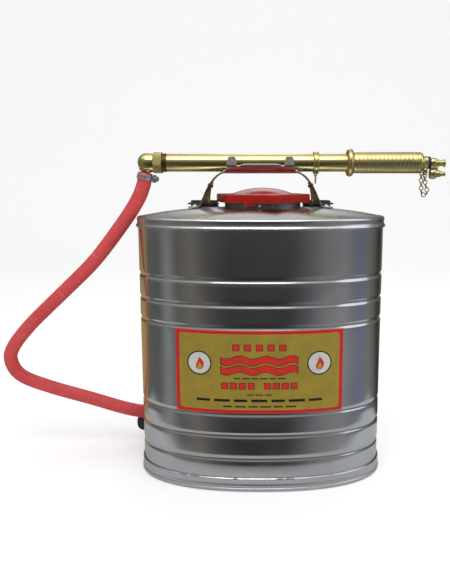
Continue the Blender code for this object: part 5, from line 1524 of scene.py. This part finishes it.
# ---- pieces inside, kept as the CAD made them ---------------------------------------------------
def plunger():
    low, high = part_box("plunger_tube")
    profile = [(low.x, 0.0076), (low.x, 0.0095), (high.x, 0.0095), (high.x, 0.0076)]
    origin, axis = on_pump()
    turned("plunger", profile, BRASS, "grip", origin, axis, "plunger_tube")


KEPT = {
    "strainer": VALVE_BRASS, "cap_gasket": BLACK_RUBBER, "union_washer": BLACK_RUBBER, "inlet_seat": VALVE_BRASS,
    "inlet_ball": STEEL_BALL, "packing_ring": LEATHER, "piston": VALVE_BRASS, "cup_seal": LEATHER,
    "discharge_ball": STEEL_BALL,
}


def kept_nodes():
    """CAD nodes that stay: welded and shaded smooth, with a material of their own."""
    for node, material in KEPT.items():
        part = NODES[node]
        part.data.materials.clear()
        part.data.materials.append(material)
        weld = part.modifiers.new("weld", "WELD")
        weld.merge_threshold = 0.00001
        bevel = part.modifiers.new("edges", "BEVEL")
        bevel.width = 0.00015
        bevel.segments = 2
        bevel.limit_method = "ANGLE"
        bevel.angle_limit = math.radians(40.0)
        part.data.shade_smooth()


# ---- studio -------------------------------------------------------------------------------------
CAMERA_PLACE = (0.0, -0.98, 0.454)
CAMERA_DOWN = math.radians(9.242)
CAMERA_LENS = 40.16
CAMERA_SHIFT = -0.0628


# What the polished metal sees around it: (degrees from straight ahead, positive to the right; colour).
ROOM = [
    (-180, (0.16, 0.155, 0.15)), (-156, (0.16, 0.155, 0.15)), (-143, (0.40, 0.28, 0.08)), (-112, (0.40, 0.29, 0.09)), (-100, (0.11, 0.10, 0.09)), (-76, (0.08, 0.09, 0.08)),
    (-63, (0.25, 0.25, 0.25)), (-51, (0.075, 0.075, 0.07)), (-38, (0.16, 0.135, 0.10)), (-26, (0.045, 0.045, 0.045)),
    (-14, (0.008, 0.008, 0.009)), (13, (0.008, 0.008, 0.010)), (24, (0.07, 0.073, 0.08)),
    (34, (0.17, 0.17, 0.178)), (52, (0.22, 0.22, 0.225)), (64, (0.15, 0.15, 0.17)), (73, (0.12, 0.14, 0.24)),
    (88, (0.17, 0.16, 0.14)), (106, (0.09, 0.09, 0.09)), (118, (0.02, 0.02, 0.02)), (134, (0.02, 0.02, 0.02)),
    (142, (0.30, 0.20, 0.05)), (154, (0.16, 0.155, 0.15)), (180, (0.16, 0.155, 0.15)),
]


def room_tone(tree, x, y):
    """The room's colour in the direction of two sockets: x to the right, y away from the camera."""
    turn = tree.nodes.new("ShaderNodeMath")
    turn.operation = "ARCTAN2"
    away = tree.nodes.new("ShaderNodeMath")
    away.operation = "MULTIPLY"
    away.inputs[1].default_value = -1.0
    tree.links.new(y, away.inputs[0])
    tree.links.new(x, turn.inputs[0])
    tree.links.new(away.outputs[0], turn.inputs[1])
    share = tree.nodes.new("ShaderNodeMapRange")
    for index, value in ((1, -math.pi), (2, math.pi), (3, 0.0), (4, 1.0)):
        share.inputs[index].default_value = value
    tree.links.new(turn.outputs[0], share.inputs[0])
    ramp = tree.nodes.new("ShaderNodeValToRGB")
    stops = ramp.color_ramp.elements
    for index, (angle, color) in enumerate(ROOM):
        place = (angle + 180) / 360
        stop = stops[index] if index < 2 else stops.new(place)
        stop.position = place
        stop.color = (*color, 1.0)
    tree.links.new(share.outputs[0], ramp.inputs[0])
    return ramp.outputs[0]


def floor_material():
    """Pale floor. In reflections only a patch close to the object is pale, and beyond it the room's tones show."""
    f = Finish("studio_floor", (0.90, 0.90, 0.90), 0.8)
    light = f.node("ShaderNodeLightPath").outputs
    place = f.node("ShaderNodeSeparateXYZ", Vector=f.node("ShaderNodeNewGeometry").outputs["Position"]).outputs
    across = f.math("POWER", f.math("DIVIDE", f.math("ABSOLUTE", place[0]), PATCH_HALF_WIDTH), 2.0)
    deep = f.math("POWER", f.math("DIVIDE", f.math("ABSOLUTE", place[1]), PATCH_HALF_DEPTH), 2.0)
    far = f.span(f.math("ADD", across, deep), 0.0, 1.0, 0.85, 1.35)
    room = f.blend(1.0, room_tone(f.tree, place[0], place[1]), (1.1, 1.1, 1.1), "MULTIPLY")
    room = f.blend(f.span(place[2], 0.0, 1.0, 0.02, 0.30), room, (0.13, 0.125, 0.12))
    window = f.math("MULTIPLY", f.span(place[2], 0.0, 1.0, 1.2, 1.9),
                    f.span(f.math("ABSOLUTE", place[0]), 1.0, 0.0, 0.15, 1.5))
    room = f.blend(window, room, (1.0, 1.0, 1.0))
    patch = f.blend(far, PATCH_TONE, room)
    paper = f.blend(f.span(f.noise(2.0, 3.0), 0.0, 0.03), (0.90, 0.90, 0.90), (0.80, 0.80, 0.80))
    tone = f.blend(light["Is Glossy Ray"], paper, patch)
    glow = f.math("ADD", f.math("MULTIPLY", light["Is Camera Ray"], 0.20),
                  f.math("MULTIPLY", f.math("MULTIPLY", light["Is Glossy Ray"], window), 0.65))
    return f.use(Base_Color=tone, Emission_Color=(1.0, 1.0, 1.0, 1.0), Emission_Strength=glow)


PATCH_HALF_WIDTH = 0.50
PATCH_HALF_DEPTH = 0.175
PATCH_TONE = (0.52, 0.53, 0.54)


def backdrop():
    """A seamless sheet: flat under the object, then swept up far behind it."""
    profile = [(-6.0, 0.0), (2.5, 0.0)]
    profile += [(2.5 + 1.5 * math.sin(t), 1.5 - 1.5 * math.cos(t)) for t in np.linspace(0.1, math.pi / 2, 12)]
    profile.append((4.0, 6.0))
    vertices = [(x, y, z - 0.0002) for y, z in profile for x in (-7.0, 7.0)]
    faces = [(2 * i, 2 * i + 1, 2 * i + 3, 2 * i + 2) for i in range(len(profile) - 1)]
    mesh = bpy.data.meshes.new("studio_floor")
    mesh.from_pydata(vertices, [], faces)
    mesh.materials.append(floor_material())
    mesh.shade_smooth()
    floor = bpy.data.objects.new("studio_floor", mesh)
    bpy.context.scene.collection.objects.link(floor)


def studio():
    backdrop()
    area_light("key", (-0.1, -1.2, 2.2), (0.0, 0.0, 0.25), 1.4, 14.0)
    area_light("fill", (1.8, -0.6, 1.3), (0.0, 0.0, 0.25), 1.4, 5.0)
    area_light("back", (0.3, 1.7, 2.3), (0.0, 0.0, 0.3), 1.4, 5.0, mirrored=False)
    world()
    camera = bpy.data.cameras.new("camera")
    camera.lens = CAMERA_LENS
    camera.shift_x = CAMERA_SHIFT
    viewer = bpy.data.objects.new("camera", camera)
    viewer.location = CAMERA_PLACE
    viewer.rotation_euler = (math.pi / 2 - CAMERA_DOWN, 0.0, 0.0)
    bpy.context.scene.collection.objects.link(viewer)
    bpy.context.scene.camera = viewer
    bpy.context.scene.view_settings.view_transform = "Standard"


def area_light(name, place, target, size, power, mirrored=True):
    light = bpy.data.lights.new(name, "AREA")
    light.size = size
    light.energy = power
    made = bpy.data.objects.new(name, light)
    made.location = place
    made.rotation_euler = (Vector(target) - Vector(place)).to_track_quat("-Z", "Y").to_euler()
    made.visible_glossy = mirrored
    bpy.context.scene.collection.objects.link(made)


def world():
    """Pale to the camera; reflections see a dim room in front, lighter sides and a bright ceiling."""
    made = bpy.data.worlds.new("studio")
    made.use_nodes = True
    tree = made.node_tree
    back = tree.nodes["Background"]

    def node(kind, operation=None, *values):
        new = tree.nodes.new(kind)
        if operation:
            new.operation = operation
        for index, value in enumerate(values):
            if isinstance(value, bpy.types.NodeSocket):
                tree.links.new(value, new.inputs[index])
            else:
                new.inputs[index].default_value = value
        return new

    def math_node(operation, *values):
        return node("ShaderNodeMath", operation, *values).outputs[0]

    def span(value, start, end, low, high):
        return node("ShaderNodeMapRange", None, value, start, end, low, high).outputs[0]

    direction = node("ShaderNodeSeparateXYZ", None, node("ShaderNodeTexCoord").outputs["Generated"]).outputs
    side = math_node("ABSOLUTE", direction[0])
    rise = span(direction[2], 0.02, 0.70, 0.0, 0.30)
    front = span(direction[1], -0.05, 0.30, 1.0, 0.15)
    ceiling = math_node("MULTIPLY", span(direction[2], 0.62, 0.80, 0.0, 0.95), front)
    behind = math_node("MULTIPLY", span(direction[1], 0.3, 0.9, 0.0, 1.0), span(side, 0.08, 0.45, 0.55, 0.06))
    level = math_node("ADD", math_node("ADD", rise, 0.07), math_node("ADD", ceiling, behind))
    light = node("ShaderNodeLightPath").outputs
    camera_level = math_node("MULTIPLY", light["Is Camera Ray"], 1.0)
    glossy = math_node("MULTIPLY", light["Is Glossy Ray"], level)
    other = math_node("SUBTRACT", 1.0, math_node("MAXIMUM", light["Is Camera Ray"], light["Is Glossy Ray"]))
    strength = math_node("ADD", math_node("ADD", camera_level, glossy), math_node("MULTIPLY", other, 0.80))
    room = room_tone(tree, direction[0], direction[1])
    seen = node("ShaderNodeCombineXYZ", None, strength, strength, strength).outputs[0]
    low_room = node("ShaderNodeVectorMath", "SCALE", room)
    tree.links.new(math_node("MULTIPLY", light["Is Glossy Ray"], span(direction[2], 0.02, 0.12, 1.0, 0.25)),
                   low_room.inputs["Scale"])
    total = node("ShaderNodeVectorMath", "ADD", seen, low_room.outputs[0])
    tree.links.new(total.outputs[0], back.inputs["Color"])
    back.inputs["Strength"].default_value = 1.0
    bpy.context.scene.world = made


def build():
    tank_shell()
    side_seam()
    tank_bottom()
    top_cover()
    filler_neck()
    label()
    filler_cap()
    carry_handle()
    foot_rivets()
    for side, word in ((-1, "left"), (1, "right")):
        strap_hanger(side, word)
        shoulder_strap(side, word)
        strap_slide(side, word)
        lower_bracket(side, word)
    outlet_fitting()
    hose()
    hose_clamp("upper", "pump", ELBOW + BARB_DOWN * 0.0215, BARB_DOWN, Vector((1, 0, -0.2)))
    hose_clamp("lower", "tank", OUTLET + OUTLET_BARB * 0.026, OUTLET_BARB, Vector((0, 0.2, 1)))
    inlet_elbow()
    union_nut()
    barrel()
    packing_bush()
    band_ring()
    plunger()
    grip_sleeve()
    grip_end_cap()
    nozzle()
    chain()
    kept_nodes()


build()
studio()
